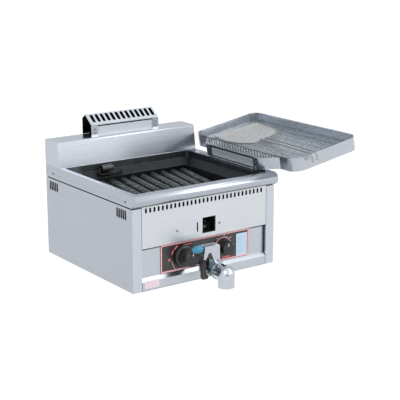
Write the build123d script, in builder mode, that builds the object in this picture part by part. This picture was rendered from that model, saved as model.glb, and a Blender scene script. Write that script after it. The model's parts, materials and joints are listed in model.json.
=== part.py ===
from build123d import *
import math
import os

os.makedirs("parts", exist_ok=True)

# Countertop gas deep fryer with a flue hood, a front drain cock and a side draining tray.
# Millimetres. X runs to the right, Y to the rear and Z up, from the centre of the footprint
# on the worktop.

# ---------------------------------------------------------------- driving dimensions
WIDTH = 440.0
DEPTH = 430.0
FOOT_HEIGHT = 10.0
SHEET = 1.5
DECK_BOTTOM = 225.0
DECK_HEIGHT = 33.0
BACKSPLASH_HEIGHT = 68.5
POST_WIDTH = 26.0
POST_RETURN = 12.0
SHADOW_GAP = 3.0
FIT = 0.05
PANEL_GAP = 1.1

HALF = WIDTH / 2
FRONT = -DEPTH / 2
REAR = DEPTH / 2
FLOOR = FOOT_HEIGHT
FLOOR_TOP = FLOOR + SHEET
DECK_TOP = DECK_BOTTOM + DECK_HEIGHT
SIDE_TOP = DECK_BOTTOM - SHADOW_GAP
PANEL_HALF = HALF - POST_WIDTH - PANEL_GAP

# front: the upper panel is flush, and the lower one is set back above a sloping ledge
UPPER_BOTTOM = 119.0
UPPER_TOP = DECK_BOTTOM - 1.0
LOWER_SETBACK = 9.0
LOWER_FACE = FRONT + LOWER_SETBACK
LEDGE_TOP = 42.0
LEDGE_BOTTOM = 33.0
PLATE_THICKNESS = 1.2
PLATE_FACE = LOWER_FACE - PLATE_THICKNESS
PLATE_X = (-134.0, 143.0)
PLATE_Z = (43.0, 116.0)
GAS_X, THERMO_X, CONTROL_Z = -67.0, 60.0, 79.5
WINDOW_X, WINDOW_Z, WINDOW_SIZE = 8.8, 149.6, 41.0
PANEL_SCREWS = ((-89.5, 148.7), (41.8, 148.7))

# oil pot: rim opening, then a shoulder, then a narrower well whose floor falls to the front
RIM_X = (-208.0, 189.0)
RIM_Y = (-210.0, 135.0)
WELL_X = (-188.0, 169.0)
WELL_Y = (-165.0, 115.0)
RIM_RADIUS = 8.0
SHOULDER_TOP, SHOULDER_BOTTOM = 240.0, 222.0
WELL_FLOOR_FRONT, WELL_FLOOR_REAR = 80.0, 104.0
POT_MIDDLE = sum(RIM_X) / 2

# fire tubes rise towards the flue
TUBE_COUNT, TUBE_PITCH = 11, 33.0
TUBE_RADIUS, TUBE_WALL = 11.0, 1.5
TUBE_RISE = 5.0
TUBE_MIDDLE = (POT_MIDDLE, (WELL_Y[0] + WELL_Y[1]) / 2, 193.0)
TUBE_LENGTH = 292.0

# flue hood, off centre by a few millimetres
HOOD_X = (-105.0, 111.0)
HOOD_REAR, HOOD_RIDGE, HOOD_KINK = 214.0, 198.0, 165.0
HOOD_REAR_Z, HOOD_RIDGE_Z, HOOD_KINK_Z = 370.0, 382.0, 357.0
HOOD_TAB = 20.0
HOOD_SLOTS, HOOD_SLOT_PITCH = 13, 15.8
SPLASH_TOP = DECK_TOP + BACKSPLASH_HEIGHT
SPLASH_FOOT, SPLASH_BROW = 138.5, 148.0
DUCT_X = (-85.0, 91.0)
DUCT_Y = (169.0, 212.0)

# drain cock, on an axis that runs to the front
DRAIN_Z = 41.5
DRAIN_PIPE_R, DRAIN_BORE = 13.5, 10.5
VALVE_REAR, VALVE_FRONT, STEM_Y = -227.0, -267.0, -251.0
BALL_R, WATERWAY = 13.0, 8.5
STEM_R = 5.0
ELBOW_R, ELBOW_BORE = 20.5, 16.5
SPOUT_R, SPOUT_BORE, SPOUT_Y, SPOUT_END = 21.5, 17.5, -300.0, 9.0
LEVER_X = (-31.0, -28.0)
SLEEVE_X = (-39.5, -25.5)
BUTTON_Y, BUTTON_Z = -264.0, 107.5
BUTTON_R, BUTTON_PIN_R = 9.5, 2.5

# draining tray, hung on the pot's right rim and rising away from it
TRAY_TILT = 9.8
TRAY_WIDTH, TRAY_LENGTH, TRAY_HEIGHT, TRAY_CORNER = 224.0, 445.5, 36.0, 33.0
TRAY_SHEET = 1.5
TRAY_CORNER_POINT = (225.0, -297.0, 267.3)
MOUTH_REACH, MOUTH_HEIGHT = 35.5, 31.0
MOUTH_LIP_HALF, MOUTH_WALL_HALF, MOUTH_CLEAR_HALF = 114.0, 160.0, 96.0
LIP_REACH, LIP_DROP = 42.0, 8.0
RACK_MARGIN, RACK_LEVEL, RACK_PITCH = 6.0, 9.0, 12.0
NET_LEVEL = 14.6
tray_tilt = math.radians(TRAY_TILT)
tray = Plane(
    origin=TRAY_CORNER_POINT,
    x_dir=(math.cos(tray_tilt), 0, math.sin(tray_tilt)),
    z_dir=(-math.sin(tray_tilt), 0, math.cos(tray_tilt)),
)
TRAY_MIDDLE = TRAY_LENGTH / 2


# ---------------------------------------------------------------- shared shapes
def slab(x, y, z, mode=Mode.ADD):
    """A box from the low to the high value on each axis."""
    with Locations(((x[0] + x[1]) / 2, (y[0] + y[1]) / 2, (z[0] + z[1]) / 2)):
        Box(x[1] - x[0], y[1] - y[0], z[1] - z[0], mode=mode)


def rod(start, end, radius, mode=Mode.ADD):
    """A round bar from one point to another."""
    start, end = Vector(*start), Vector(*end)
    with Locations(Plane(origin=start, z_dir=end - start)):
        Cylinder(radius, (end - start).length, align=(Align.CENTER, Align.CENTER, Align.MIN), mode=mode)


def folded(points, thickness):
    """The closed outline of sheet folded along points, its thickness to the left of the path."""
    path = [Vector(x, y) for x, y in points]
    runs = [(b - a).normalized() for a, b in zip(path, path[1:])]
    inner = []
    for i, point in enumerate(path):
        before, after = runs[max(i - 1, 0)], runs[min(i, len(runs) - 1)]
        normal_a = Vector(-before.Y, before.X)
        normal_b = Vector(-after.Y, after.X)
        mitre = (normal_a + normal_b).normalized()
        inner.append(point + mitre * (thickness / mitre.dot(normal_a)))
    return [(p.X, p.Y) for p in path + inner[::-1]]


def plate(plane, outline, thickness, mode=Mode.ADD):
    """A flat plate of the closed outline, raised from the plane."""
    with BuildSketch(plane) as profile:
        with BuildLine():
            Polyline(*outline, close=True)
        make_face()
    extrude(profile.sketch, amount=thickness, mode=mode)


def pan_head(x, y, z, direction, head=3.0, shank=1.5, length=6.0):
    """A pan-head screw whose head stands on the surface at the point."""
    out = Vector(*direction)
    seat = Vector(x, y, z)
    rod(seat, seat + out * 1.8, head)
    rod(seat, seat - out * length, shank)


def on_tray(x, y, height):
    """A point given across, along and above the tray's floor."""
    return tray.from_local_coords(Vector(x, y, height))


def keep(piece, name):
    """Label one finished piece and write it."""
    piece.part.label = name
    export_step(piece.part, f"parts/{name}.step")


# ---------------------------------------------------------------- cabinet
with BuildPart() as feet:
    with BuildSketch(Plane.XY):
        with GridLocations(320, 310, 2, 2):
            Circle(13)
    extrude(amount=FOOT_HEIGHT, taper=-8)
keep(feet, "feet")

with BuildPart() as base_plate:
    slab((-HALF + SHEET, HALF - SHEET), (FRONT + SHEET, REAR - SHEET), (FLOOR, FLOOR_TOP))
    slab((-PANEL_HALF, PANEL_HALF), (FRONT, FRONT + SHEET), (FLOOR, FLOOR_TOP))
    for side in (-1, 1):
        edge = side * (HALF - SHEET)
        slab(sorted((edge, edge - side * SHEET)), (-190, REAR - SHEET), (FLOOR, FLOOR + 20))
        post = side * (HALF - POST_WIDTH)
        notch_y = (FRONT + SHEET, FRONT + POST_RETURN + 0.5)
        slab(sorted((post - side * 0.5, post + side * 2)), notch_y, (FLOOR, FLOOR_TOP), Mode.SUBTRACT)
    with BuildSketch(Plane.XY.offset(FLOOR)):
        with GridLocations(48, 28, 7, 9):
            SlotOverall(32, 7)
    extrude(amount=SHEET, mode=Mode.SUBTRACT)
keep(base_plate, "base_plate")


def side_panel(side):
    """The left (-1) or right (1) side with its front post and two vents of five slots."""
    post = side * (HALF - POST_WIDTH)
    path = [(side * HALF, REAR), (side * HALF, FRONT), (post, FRONT), (post, FRONT + POST_RETURN)]
    with BuildPart() as panel:
        plate(Plane.XY.offset(FLOOR), folded(path, -side * SHEET), SIDE_TOP - FLOOR)
        with BuildSketch(Plane.YZ.offset(side * HALF)):
            with Locations((-165.5, 203), (173.5, 203)):
                with GridLocations(9.4, 1, 5, 1):
                    SlotOverall(25, 7, rotation=90)
        extrude(amount=2 * SHEET, both=True, mode=Mode.SUBTRACT)
    return panel


keep(side_panel(-1), "side_panel_left")
keep(side_panel(1), "side_panel_right")

GAS_INLET = (150.0, 32.0)
with BuildPart() as back_panel:
    slab((-HALF + SHEET, HALF - SHEET), (REAR - SHEET, REAR), (FLOOR, SIDE_TOP))
    with BuildSketch(Plane.XZ.offset(-REAR)):
        with Locations(GAS_INLET):
            Circle(14)
        with Locations((0, 90)):
            with GridLocations(60, 14, 6, 4):
                SlotOverall(44, 5)
    extrude(amount=2 * SHEET, both=True, mode=Mode.SUBTRACT)
keep(back_panel, "back_panel")

# the rails stand behind the shadow gap and tie the sides to the deck
with BuildPart() as deck_rails:
    for side in (-1, 1):
        slab(sorted((side * 218.5, side * 216.5)), (-200, 205), (200, DECK_TOP - SHEET))
    slab((-193, 193), (-202, -200.5), (200, DECK_BOTTOM))
keep(deck_rails, "deck_rails")

NOSE_R = DECK_HEIGHT / 2
DECK_SCREWS = ((-183.7, 236.0), (176.4, 237.4))
with BuildPart() as deck_top:
    slab((-HALF, HALF), (FRONT, REAR), (DECK_BOTTOM, DECK_TOP))
    with BuildSketch(Plane.YZ.offset(-HALF)):
        with Locations((FRONT, DECK_BOTTOM + NOSE_R)):
            Circle(NOSE_R)
    extrude(amount=WIDTH)
    inside_x = (-HALF + SHEET, HALF - SHEET)
    slab(inside_x, (FRONT, REAR - SHEET), (DECK_BOTTOM, DECK_TOP - SHEET), Mode.SUBTRACT)
    with BuildSketch(Plane.YZ.offset(-HALF + SHEET)):
        with Locations((FRONT, DECK_BOTTOM + NOSE_R)):
            Circle(NOSE_R - SHEET)
    extrude(amount=WIDTH - 2 * SHEET, mode=Mode.SUBTRACT)
    slab(inside_x, (FRONT, FRONT + 14), (DECK_BOTTOM, DECK_BOTTOM + SHEET))
    with BuildSketch(Plane.XY.offset(DECK_TOP)):
        with Locations((POT_MIDDLE, sum(RIM_Y) / 2)):
            RectangleRounded(RIM_X[1] - RIM_X[0], RIM_Y[1] - RIM_Y[0], RIM_RADIUS)
    extrude(amount=-2 * SHEET, mode=Mode.SUBTRACT)
    slab(DUCT_X, DUCT_Y, (DECK_TOP - 2 * SHEET, DECK_TOP), Mode.SUBTRACT)
    for y, z in DECK_SCREWS:
        rod((-HALF, y, z), (-HALF + SHEET, y, z), 1.5, Mode.SUBTRACT)
        rod((HALF, y, z), (HALF - SHEET, y, z), 1.5, Mode.SUBTRACT)
keep(deck_top, "deck_top")

with BuildPart() as deck_screws:
    for y, z in DECK_SCREWS:
        pan_head(-HALF, y, z, (-1, 0, 0), length=SHEET)
        pan_head(HALF, y, z, (1, 0, 0), length=SHEET)
keep(deck_screws, "deck_screws")

# ---------------------------------------------------------------- backsplash, hood and flue
SPLASH_OUTLINE = ((SPLASH_FOOT, DECK_TOP), (REAR, DECK_TOP), (REAR, SPLASH_TOP), (SPLASH_BROW, SPLASH_TOP))
with BuildPart() as backsplash:
    plate(Plane.YZ.offset(-HALF), SPLASH_OUTLINE, WIDTH)
    fillet(backsplash.edges().filter_by(Axis.X).group_by(Axis.Z)[-1], 5)
    inner = [(y + (1.6 if y < 180 else -SHEET), z - (SHEET if z > DECK_TOP else 0)) for y, z in SPLASH_OUTLINE]
    plate(Plane.YZ.offset(-HALF + SHEET), inner, WIDTH - 2 * SHEET, Mode.SUBTRACT)
    slab(DUCT_X, DUCT_Y, (SPLASH_TOP - 10, SPLASH_TOP + 5), Mode.SUBTRACT)
keep(backsplash, "backsplash")

HOOD_MIDDLE = sum(HOOD_X) / 2
HOOD_SCREWS = [(x, z) for x in (HOOD_X[0] + 11, HOOD_X[1] - 10) for z in (335, 345.5)]
with BuildPart() as flue_hood:
    hood_path = [
        (HOOD_REAR, SPLASH_TOP),
        (HOOD_REAR, HOOD_REAR_Z),
        (HOOD_RIDGE, HOOD_RIDGE_Z),
        (HOOD_KINK, HOOD_KINK_Z),
        (HOOD_KINK, SPLASH_TOP),
    ]
    plate(Plane.YZ.offset(HOOD_X[0]), folded(hood_path, SHEET), HOOD_X[1] - HOOD_X[0])
    # the right end is closed by a cheek, and the left end is open
    plate(Plane.YZ.offset(HOOD_X[1] - SHEET), hood_path, SHEET)
    rise, run = HOOD_RIDGE_Z - HOOD_KINK_Z, HOOD_RIDGE - HOOD_KINK
    slope = Plane(
        origin=(HOOD_MIDDLE, (HOOD_RIDGE + HOOD_KINK) / 2, (HOOD_RIDGE_Z + HOOD_KINK_Z) / 2),
        x_dir=(1, 0, 0),
        z_dir=(0, -rise, run),
    )
    with BuildSketch(slope):
        with Locations((2, 2.8)):
            with GridLocations(HOOD_SLOT_PITCH, 1, HOOD_SLOTS, 1):
                SlotOverall(29, 9.6, rotation=90)
    extrude(amount=2 * SHEET, both=True, mode=Mode.SUBTRACT)
    between_tabs = (HOOD_X[0] + HOOD_TAB, HOOD_X[1] - HOOD_TAB)
    slab(between_tabs, (HOOD_KINK - 1, HOOD_KINK + 3), (SPLASH_TOP, HOOD_KINK_Z - 1.6), Mode.SUBTRACT)
    for x, z in HOOD_SCREWS:
        rod((x, HOOD_KINK, z), (x, HOOD_KINK + SHEET, z), 1.5, Mode.SUBTRACT)
keep(flue_hood, "flue_hood")

with BuildPart() as hood_front_plate:
    plate_y = (HOOD_KINK + SHEET, HOOD_KINK + 2 * SHEET)
    slab((HOOD_X[0] + 6, HOOD_X[1] - 6), plate_y, (SPLASH_TOP, HOOD_KINK_Z - 5.2))
    for x, z in HOOD_SCREWS:
        rod((x, plate_y[0], z), (x, plate_y[1], z), 1.5, Mode.SUBTRACT)
keep(hood_front_plate, "hood_front_plate")

with BuildPart() as hood_screws:
    for x, z in HOOD_SCREWS:
        pan_head(x, HOOD_KINK, z, (0, -1, 0), head=2.8, length=2 * SHEET)
keep(hood_screws, "hood_screws")

# the collector gathers the tube ends, and the duct carries their gases up into the hood
with BuildPart() as flue_duct:
    collector_x, collector_z = (-190.0, 171.0), (176.0, 221.0)
    slab(collector_x, (WELL_Y[1], DUCT_Y[0]), collector_z)
    slab(DUCT_X, DUCT_Y, (collector_z[0], SPLASH_TOP + 3))
    hollow_x = (collector_x[0] + SHEET, collector_x[1] - SHEET)
    hollow_z = (collector_z[0] + SHEET, collector_z[1] - SHEET)
    slab(hollow_x, (WELL_Y[1], DUCT_Y[0] - SHEET), hollow_z, Mode.SUBTRACT)
    duct_x = (DUCT_X[0] + SHEET, DUCT_X[1] - SHEET)
    duct_y = (DUCT_Y[0] + SHEET, DUCT_Y[1] - SHEET)
    slab(duct_x, duct_y, (hollow_z[0], SPLASH_TOP + 3), Mode.SUBTRACT)
    slab(duct_x, (DUCT_Y[0] - 2 * SHEET, DUCT_Y[0] + 2 * SHEET), hollow_z, Mode.SUBTRACT)
keep(flue_duct, "flue_duct")

# ---------------------------------------------------------------- oil pot and fire tubes
tube_axis = Plane(
    origin=TUBE_MIDDLE,
    x_dir=(1, 0, 0),
    z_dir=(0, math.cos(math.radians(TUBE_RISE)), math.sin(math.radians(TUBE_RISE))),
)


def pot_body(inset):
    """The pot's outer shape, or its inner one when inset is the sheet's thickness."""
    rim = (RIM_X[1] - RIM_X[0] - 2 * inset, RIM_Y[1] - RIM_Y[0] - 2 * inset)
    well = (WELL_X[1] - WELL_X[0] - 2 * inset, WELL_Y[1] - WELL_Y[0] - 2 * inset)
    front, rear = WELL_Y[0] + inset, WELL_Y[1] - inset
    side = [
        (front, SHOULDER_BOTTOM),
        (front, WELL_FLOOR_FRONT + inset),
        (rear, WELL_FLOOR_REAR + inset),
        (rear, SHOULDER_BOTTOM),
    ]
    with BuildPart() as body:
        with BuildSketch(Plane.XY.offset(SHOULDER_TOP)):
            with Locations((POT_MIDDLE, sum(RIM_Y) / 2)):
                RectangleRounded(*rim, RIM_RADIUS - inset)
        extrude(amount=DECK_TOP - SHOULDER_TOP)
        with BuildSketch(Plane.XY.offset(SHOULDER_TOP)):
            with Locations((POT_MIDDLE, sum(RIM_Y) / 2)):
                RectangleRounded(*rim, RIM_RADIUS - inset)
        with BuildSketch(Plane.XY.offset(SHOULDER_BOTTOM)):
            with Locations((POT_MIDDLE, sum(WELL_Y) / 2)):
                RectangleRounded(*well, RIM_RADIUS - inset)
        loft()
        plate(Plane.YZ.offset(WELL_X[0] + inset), side, well[0])
    return body.part


DRAIN_Y = -140.0
CAPILLARY_R = 2.5
CAPILLARY_EXIT = (-40.0, 231.0)
SHEET_X = (WELL_X[0] + SHEET, WELL_X[1] - SHEET)
SHEET_Z = (WELL_FLOOR_REAR + SHEET, SHOULDER_BOTTOM - SHEET)
SHEETS_Y = ((WELL_Y[0], WELL_Y[0] + SHEET), (WELL_Y[1] - SHEET, WELL_Y[1]))
pot_outside, pot_inside = pot_body(0), pot_body(SHEET)
with BuildPart() as oil_pot:
    add(pot_outside)
    add(pot_inside, mode=Mode.SUBTRACT)
    for sheet_y in SHEETS_Y:
        slab(SHEET_X, sheet_y, SHEET_Z, Mode.SUBTRACT)
    rod((0, DRAIN_Y, 70), (0, DRAIN_Y, 100), DRAIN_PIPE_R, Mode.SUBTRACT)
    x, z = CAPILLARY_EXIT
    rod((x, WELL_Y[1] - 6, z), (x, RIM_Y[1] + 5, z), CAPILLARY_R, Mode.SUBTRACT)
keep(oil_pot, "oil_pot")

# the well's front and rear walls, which the fire tubes are welded into
with BuildPart() as tube_sheets:
    for sheet_y in SHEETS_Y:
        slab(SHEET_X, sheet_y, SHEET_Z)
    with BuildSketch(tube_axis):
        with GridLocations(TUBE_PITCH, 1, TUBE_COUNT, 1):
            Circle(TUBE_RADIUS)
    extrude(amount=TUBE_LENGTH / 2, both=True, mode=Mode.SUBTRACT)
keep(tube_sheets, "tube_sheets")

with BuildPart() as fire_tubes:
    with BuildSketch(tube_axis):
        with GridLocations(TUBE_PITCH, 1, TUBE_COUNT, 1):
            Circle(TUBE_RADIUS)
            Circle(TUBE_RADIUS - TUBE_WALL, mode=Mode.SUBTRACT)
    extrude(amount=TUBE_LENGTH / 2, both=True)
keep(fire_tubes, "fire_tubes")

with BuildPart() as firebox:
    box_x, box_y, box_z = (-190.0, 171.0), (-198.0, WELL_Y[0]), (112.0, 204.0)
    slab(box_x, box_y, box_z)
    inner_x = (box_x[0] + SHEET, box_x[1] - SHEET)
    slab(inner_x, (box_y[0] + SHEET, box_y[1]), (box_z[0], box_z[1] - SHEET), Mode.SUBTRACT)
    half = WINDOW_SIZE / 2 - 4
    window_x, window_z = (WINDOW_X - half, WINDOW_X + half), (WINDOW_Z - half, WINDOW_Z + half)
    slab(window_x, (box_y[0] - 1, box_y[0] + 3), window_z, Mode.SUBTRACT)
keep(firebox, "firebox")

BURNER_Y, BURNER_Z, BURNER_R = -178.0, 134.0, 11.0
with BuildPart() as main_burner:
    rod((-180, BURNER_Y, BURNER_Z), (160, BURNER_Y, BURNER_Z), BURNER_R)
    with BuildSketch(Plane.XY.offset(BURNER_Z)):
        with Locations((POT_MIDDLE, BURNER_Y)):
            with GridLocations(TUBE_PITCH / 2, 1, 2 * TUBE_COUNT - 1, 1):
                Circle(3.5)
    extrude(amount=BURNER_R + 6)
    rod((-178, BURNER_Y, BURNER_Z), (158, BURNER_Y, BURNER_Z), BURNER_R - SHEET, Mode.SUBTRACT)
    with BuildSketch(Plane.XY.offset(BURNER_Z)):
        with Locations((POT_MIDDLE, BURNER_Y)):
            with GridLocations(TUBE_PITCH / 2, 1, 2 * TUBE_COUNT - 1, 1):
                Circle(1.6)
    extrude(amount=BURNER_R + 6, mode=Mode.SUBTRACT)
keep(main_burner, "main_burner")

with BuildPart() as pilot_burner:
    rod((34, -192.8, 113.5), (34, -192.8, 140), 3)
    slab((27, 41), (-195.8, -189.8), (140, 147))
keep(pilot_burner, "pilot_burner")

with BuildPart() as thermocouple:
    rod((22, -192.8, 113.5), (22, -192.8, 150), 2)
keep(thermocouple, "thermocouple")

# ---------------------------------------------------------------- gas train
GAS_PIPE_R = 7.0
VALVE_BACK = -172.0
with BuildPart() as gas_inlet:
    x, z = GAS_INLET
    rod((x, REAR - 12, z), (x, REAR + 28, z), 10.48)
    with BuildSketch(Plane.XZ.offset(-(REAR + 10))):
        with Locations((x, z)):
            RegularPolygon(14, 6)
    extrude(amount=10)
    rod((x, REAR - 12, z), (x, REAR + 28, z), 7, Mode.SUBTRACT)
keep(gas_inlet, "gas_inlet")

with BuildPart() as gas_valve:
    rod((GAS_X, LOWER_FACE + SHEET, CONTROL_Z), (GAS_X, VALVE_BACK, CONTROL_Z), 15)
    slab((GAS_X - 16, GAS_X + 16), (-200, VALVE_BACK), (CONTROL_Z - 15, CONTROL_Z + 15))
    cavity_end = (GAS_X, -187, CONTROL_Z)
    rod((GAS_X, LOWER_FACE + SHEET, CONTROL_Z), cavity_end, 7 + FIT, Mode.SUBTRACT)
keep(gas_valve, "gas_valve")

with BuildPart() as gas_supply_pipe:
    x, z = GAS_INLET
    with BuildLine() as supply_route:
        turn_y = DRAIN_Y + 30
        end = (GAS_X, -188, CONTROL_Z - 15)
        corners = [(x, REAR - 12, z), (x, turn_y, z), (GAS_X, turn_y, z), (GAS_X, end[1], z), end]
        FilletPolyline(*corners, radius=14)
    with BuildSketch(Plane(origin=supply_route.line @ 0, z_dir=supply_route.line % 0)):
        Circle(GAS_PIPE_R)
        Circle(GAS_PIPE_R - 1.5, mode=Mode.SUBTRACT)
    sweep()
keep(gas_supply_pipe, "gas_supply_pipe")

with BuildPart() as burner_pipe:
    rod((GAS_X, BURNER_Y, CONTROL_Z + 15), (GAS_X, BURNER_Y, BURNER_Z), 5)
    rod((GAS_X - 10, BURNER_Y, BURNER_Z), (GAS_X + 10, BURNER_Y, BURNER_Z), BURNER_R, Mode.SUBTRACT)
keep(burner_pipe, "burner_pipe")

with BuildPart() as gas_valve_plunger:
    rod((GAS_X, -203.5, CONTROL_Z), (GAS_X, -197, CONTROL_Z), 7)
    rod((GAS_X, -203.5, CONTROL_Z), (GAS_X, -197, CONTROL_Z), 4 + FIT, Mode.SUBTRACT)
keep(gas_valve_plunger, "gas_valve_plunger")

with BuildPart() as gas_valve_spindle:
    rod((GAS_X, -240, CONTROL_Z), (GAS_X, -194, CONTROL_Z), 4)
keep(gas_valve_spindle, "gas_valve_spindle")

GAS_KNOB_BACK, GAS_KNOB_FACE = -212.5, -253.5
GAS_MARK_X, GAS_MARK_Z = (GAS_X - 0.9, GAS_X + 0.9), (CONTROL_Z + 9, CONTROL_Z + 15.5)
with BuildPart() as gas_knob:
    with BuildSketch(Plane.XY.offset(CONTROL_Z)):
        with BuildLine():
            profile = [
                (GAS_X, GAS_KNOB_BACK),
                (GAS_X + 28.5, GAS_KNOB_BACK),
                (GAS_X + 27.5, GAS_KNOB_BACK - 4),
                (GAS_X + 22, GAS_KNOB_BACK - 6),
                (GAS_X + 20, GAS_KNOB_FACE + 3),
                (GAS_X + 17, GAS_KNOB_FACE),
                (GAS_X, GAS_KNOB_FACE),
            ]
            Polyline(*profile, close=True)
        make_face()
    revolve(axis=Axis((GAS_X, 0, CONTROL_Z), (0, 1, 0)))
    with BuildSketch(Plane.XZ.offset(-GAS_KNOB_BACK + 8)):
        with Locations((GAS_X, CONTROL_Z)):
            with PolarLocations(23.2, 16, start_angle=11.25):
                Circle(3)
    extrude(amount=50, mode=Mode.SUBTRACT)
    rod((GAS_X, GAS_KNOB_BACK, CONTROL_Z), (GAS_X, -240, CONTROL_Z), 4, Mode.SUBTRACT)
    slab(GAS_MARK_X, (GAS_KNOB_FACE, GAS_KNOB_FACE + 1), GAS_MARK_Z, Mode.SUBTRACT)
keep(gas_knob, "gas_knob")

with BuildPart() as gas_knob_pointer:
    slab(GAS_MARK_X, (GAS_KNOB_FACE, GAS_KNOB_FACE + 1), GAS_MARK_Z)
keep(gas_knob_pointer, "gas_knob_pointer")

# ---------------------------------------------------------------- thermostat
with BuildPart() as thermostat_body:
    slab((THERMO_X - 18, THERMO_X + 18), (LOWER_FACE + SHEET, -172), (CONTROL_Z - 16, CONTROL_Z + 16))
    rod((THERMO_X, LOWER_FACE + SHEET, CONTROL_Z), (THERMO_X, -194, CONTROL_Z), 3.5 + FIT, Mode.SUBTRACT)
keep(thermostat_body, "thermostat_body")

DIAL_BACK, DIAL_FACE = -208.7, -231.0
DIAL_MARK_X, DIAL_MARK_Z = (THERMO_X - 0.8, THERMO_X + 0.8), (CONTROL_Z + 6, CONTROL_Z + 13.5)
with BuildPart() as thermostat_spindle:
    rod((THERMO_X, DIAL_FACE + 8, CONTROL_Z), (THERMO_X, -195, CONTROL_Z), 3.5)
keep(thermostat_spindle, "thermostat_spindle")

with BuildPart() as thermostat_dial:
    rod((THERMO_X, DIAL_BACK, CONTROL_Z), (THERMO_X, DIAL_BACK - 6, CONTROL_Z), 22.5)
    rod((THERMO_X, DIAL_BACK - 6, CONTROL_Z), (THERMO_X, DIAL_FACE, CONTROL_Z), 17)
    with BuildSketch(Plane.XZ.offset(-DIAL_BACK + 6)):
        with Locations((THERMO_X, CONTROL_Z)):
            with PolarLocations(18.6, 14):
                Circle(2.6)
    extrude(amount=30, mode=Mode.SUBTRACT)
    rod((THERMO_X, DIAL_BACK, CONTROL_Z), (THERMO_X, DIAL_FACE + 8, CONTROL_Z), 3.5, Mode.SUBTRACT)
    slab(DIAL_MARK_X, (DIAL_FACE, DIAL_FACE + 1), DIAL_MARK_Z, Mode.SUBTRACT)
keep(thermostat_dial, "thermostat_dial")

with BuildPart() as dial_pointer:
    slab(DIAL_MARK_X, (DIAL_FACE, DIAL_FACE + 1), DIAL_MARK_Z)
keep(dial_pointer, "dial_pointer")

# the bulb lies under the rear rim, and its capillary runs behind and below the pot to the body
BULB_Y, BULB_Z = 121.0, 246.0
BULB_X = (-104.0, -72.0)
with BuildPart() as thermostat_bulb:
    rod((BULB_X[0], BULB_Y, BULB_Z), (BULB_X[1], BULB_Y, BULB_Z), 4.5)
keep(thermostat_bulb, "thermostat_bulb")

with BuildPart() as bulb_guard:
    guard_ends = (BULB_X[0] + 1, BULB_Y, BULB_Z), (BULB_X[1] + 1, BULB_Y, BULB_Z)
    rod(*guard_ends, 9.5)
    rod(*guard_ends, 8.3, Mode.SUBTRACT)
    with BuildSketch(Plane.XY.offset(BULB_Z)):
        with Locations((sum(BULB_X) / 2 + 1, BULB_Y)):
            with GridLocations(6, 6, 5, 2):
                Circle(1.6)
    extrude(amount=20, both=True, mode=Mode.SUBTRACT)
    with BuildSketch(Plane.XZ.offset(-BULB_Y)):
        with Locations((sum(BULB_X) / 2 + 1, BULB_Z)):
            with GridLocations(6, 6, 5, 2):
                Circle(1.6)
    extrude(amount=20, both=True, mode=Mode.SUBTRACT)
keep(bulb_guard, "bulb_guard")

with BuildPart() as capillary_tube:
    x, z = CAPILLARY_EXIT
    with BuildLine() as capillary_route:
        corners = [
            (BULB_X[0], BULB_Y, BULB_Z),
            (-111, BULB_Y, BULB_Z),
            (-111, 114, z),
            (x, 114, z),
            (x, 150, z),
            (200, 150, z),
            (200, 150, CONTROL_Z + 4),
            (200, -185, CONTROL_Z + 4),
            (THERMO_X + 18, -185, CONTROL_Z + 4),
        ]
        FilletPolyline(*corners, radius=5.5)
    with BuildSketch(Plane(origin=capillary_route.line @ 0, z_dir=capillary_route.line % 0)):
        Circle(CAPILLARY_R)
    sweep()
keep(capillary_tube, "capillary_tube")

# ---------------------------------------------------------------- front panels and controls
with BuildPart() as upper_front_panel:
    slab((-PANEL_HALF, PANEL_HALF), (FRONT, FRONT + SHEET), (UPPER_BOTTOM, UPPER_TOP))
    slab((-PANEL_HALF, PANEL_HALF), (FRONT, FRONT + 10), (UPPER_BOTTOM, UPPER_BOTTOM + SHEET))
    with BuildSketch(Plane.XZ.offset(-FRONT)):
        with Locations((-2, 214.6)):
            with GridLocations(12.3, 1, 30, 1):
                SlotOverall(13, 6, rotation=90)
        with Locations((WINDOW_X, WINDOW_Z)):
            Rectangle(WINDOW_SIZE, WINDOW_SIZE)
        with Locations((-27, 148.5)):
            SlotOverall(25, 4, rotation=90)
        with Locations(*PANEL_SCREWS):
            Circle(1.5)
    extrude(amount=2 * SHEET, both=True, mode=Mode.SUBTRACT)
keep(upper_front_panel, "upper_front_panel")

with BuildPart() as panel_screws:
    for x, z in PANEL_SCREWS:
        pan_head(x, FRONT, z, (0, -1, 0), length=SHEET + 4)
keep(panel_screws, "panel_screws")


def control_holes():
    """The holes that the knob spindles and the drain pipe pass through."""
    for x, z, radius in ((GAS_X, CONTROL_Z, 6), (THERMO_X, CONTROL_Z, 5), (0, DRAIN_Z, DRAIN_PIPE_R + 1)):
        rod((x, FRONT - 1, z), (x, LOWER_FACE + 5, z), radius, Mode.SUBTRACT)


with BuildPart() as lower_front_panel:
    panel_path = [
        (LOWER_FACE, UPPER_BOTTOM - 1.5),
        (LOWER_FACE, LEDGE_TOP),
        (FRONT, LEDGE_BOTTOM),
        (FRONT, FLOOR_TOP),
        (FRONT + 14, FLOOR_TOP),
    ]
    plate(Plane.YZ.offset(-PANEL_HALF), folded(panel_path, SHEET), 2 * PANEL_HALF)
    control_holes()
keep(lower_front_panel, "lower_front_panel")

with BuildPart() as control_plate:
    with BuildSketch(Plane.XZ.offset(-LOWER_FACE)):
        with Locations(((PLATE_X[0] + PLATE_X[1]) / 2, (PLATE_Z[0] + PLATE_Z[1]) / 2)):
            RectangleRounded(PLATE_X[1] - PLATE_X[0], PLATE_Z[1] - PLATE_Z[0], 4)
    extrude(amount=PLATE_THICKNESS)
    control_holes()
keep(control_plate, "control_plate")

with BuildPart() as label_plate:
    slab((101.4, 136.7), (PLATE_FACE - 0.6, PLATE_FACE), (47, 106.5))
keep(label_plate, "label_plate")

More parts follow.
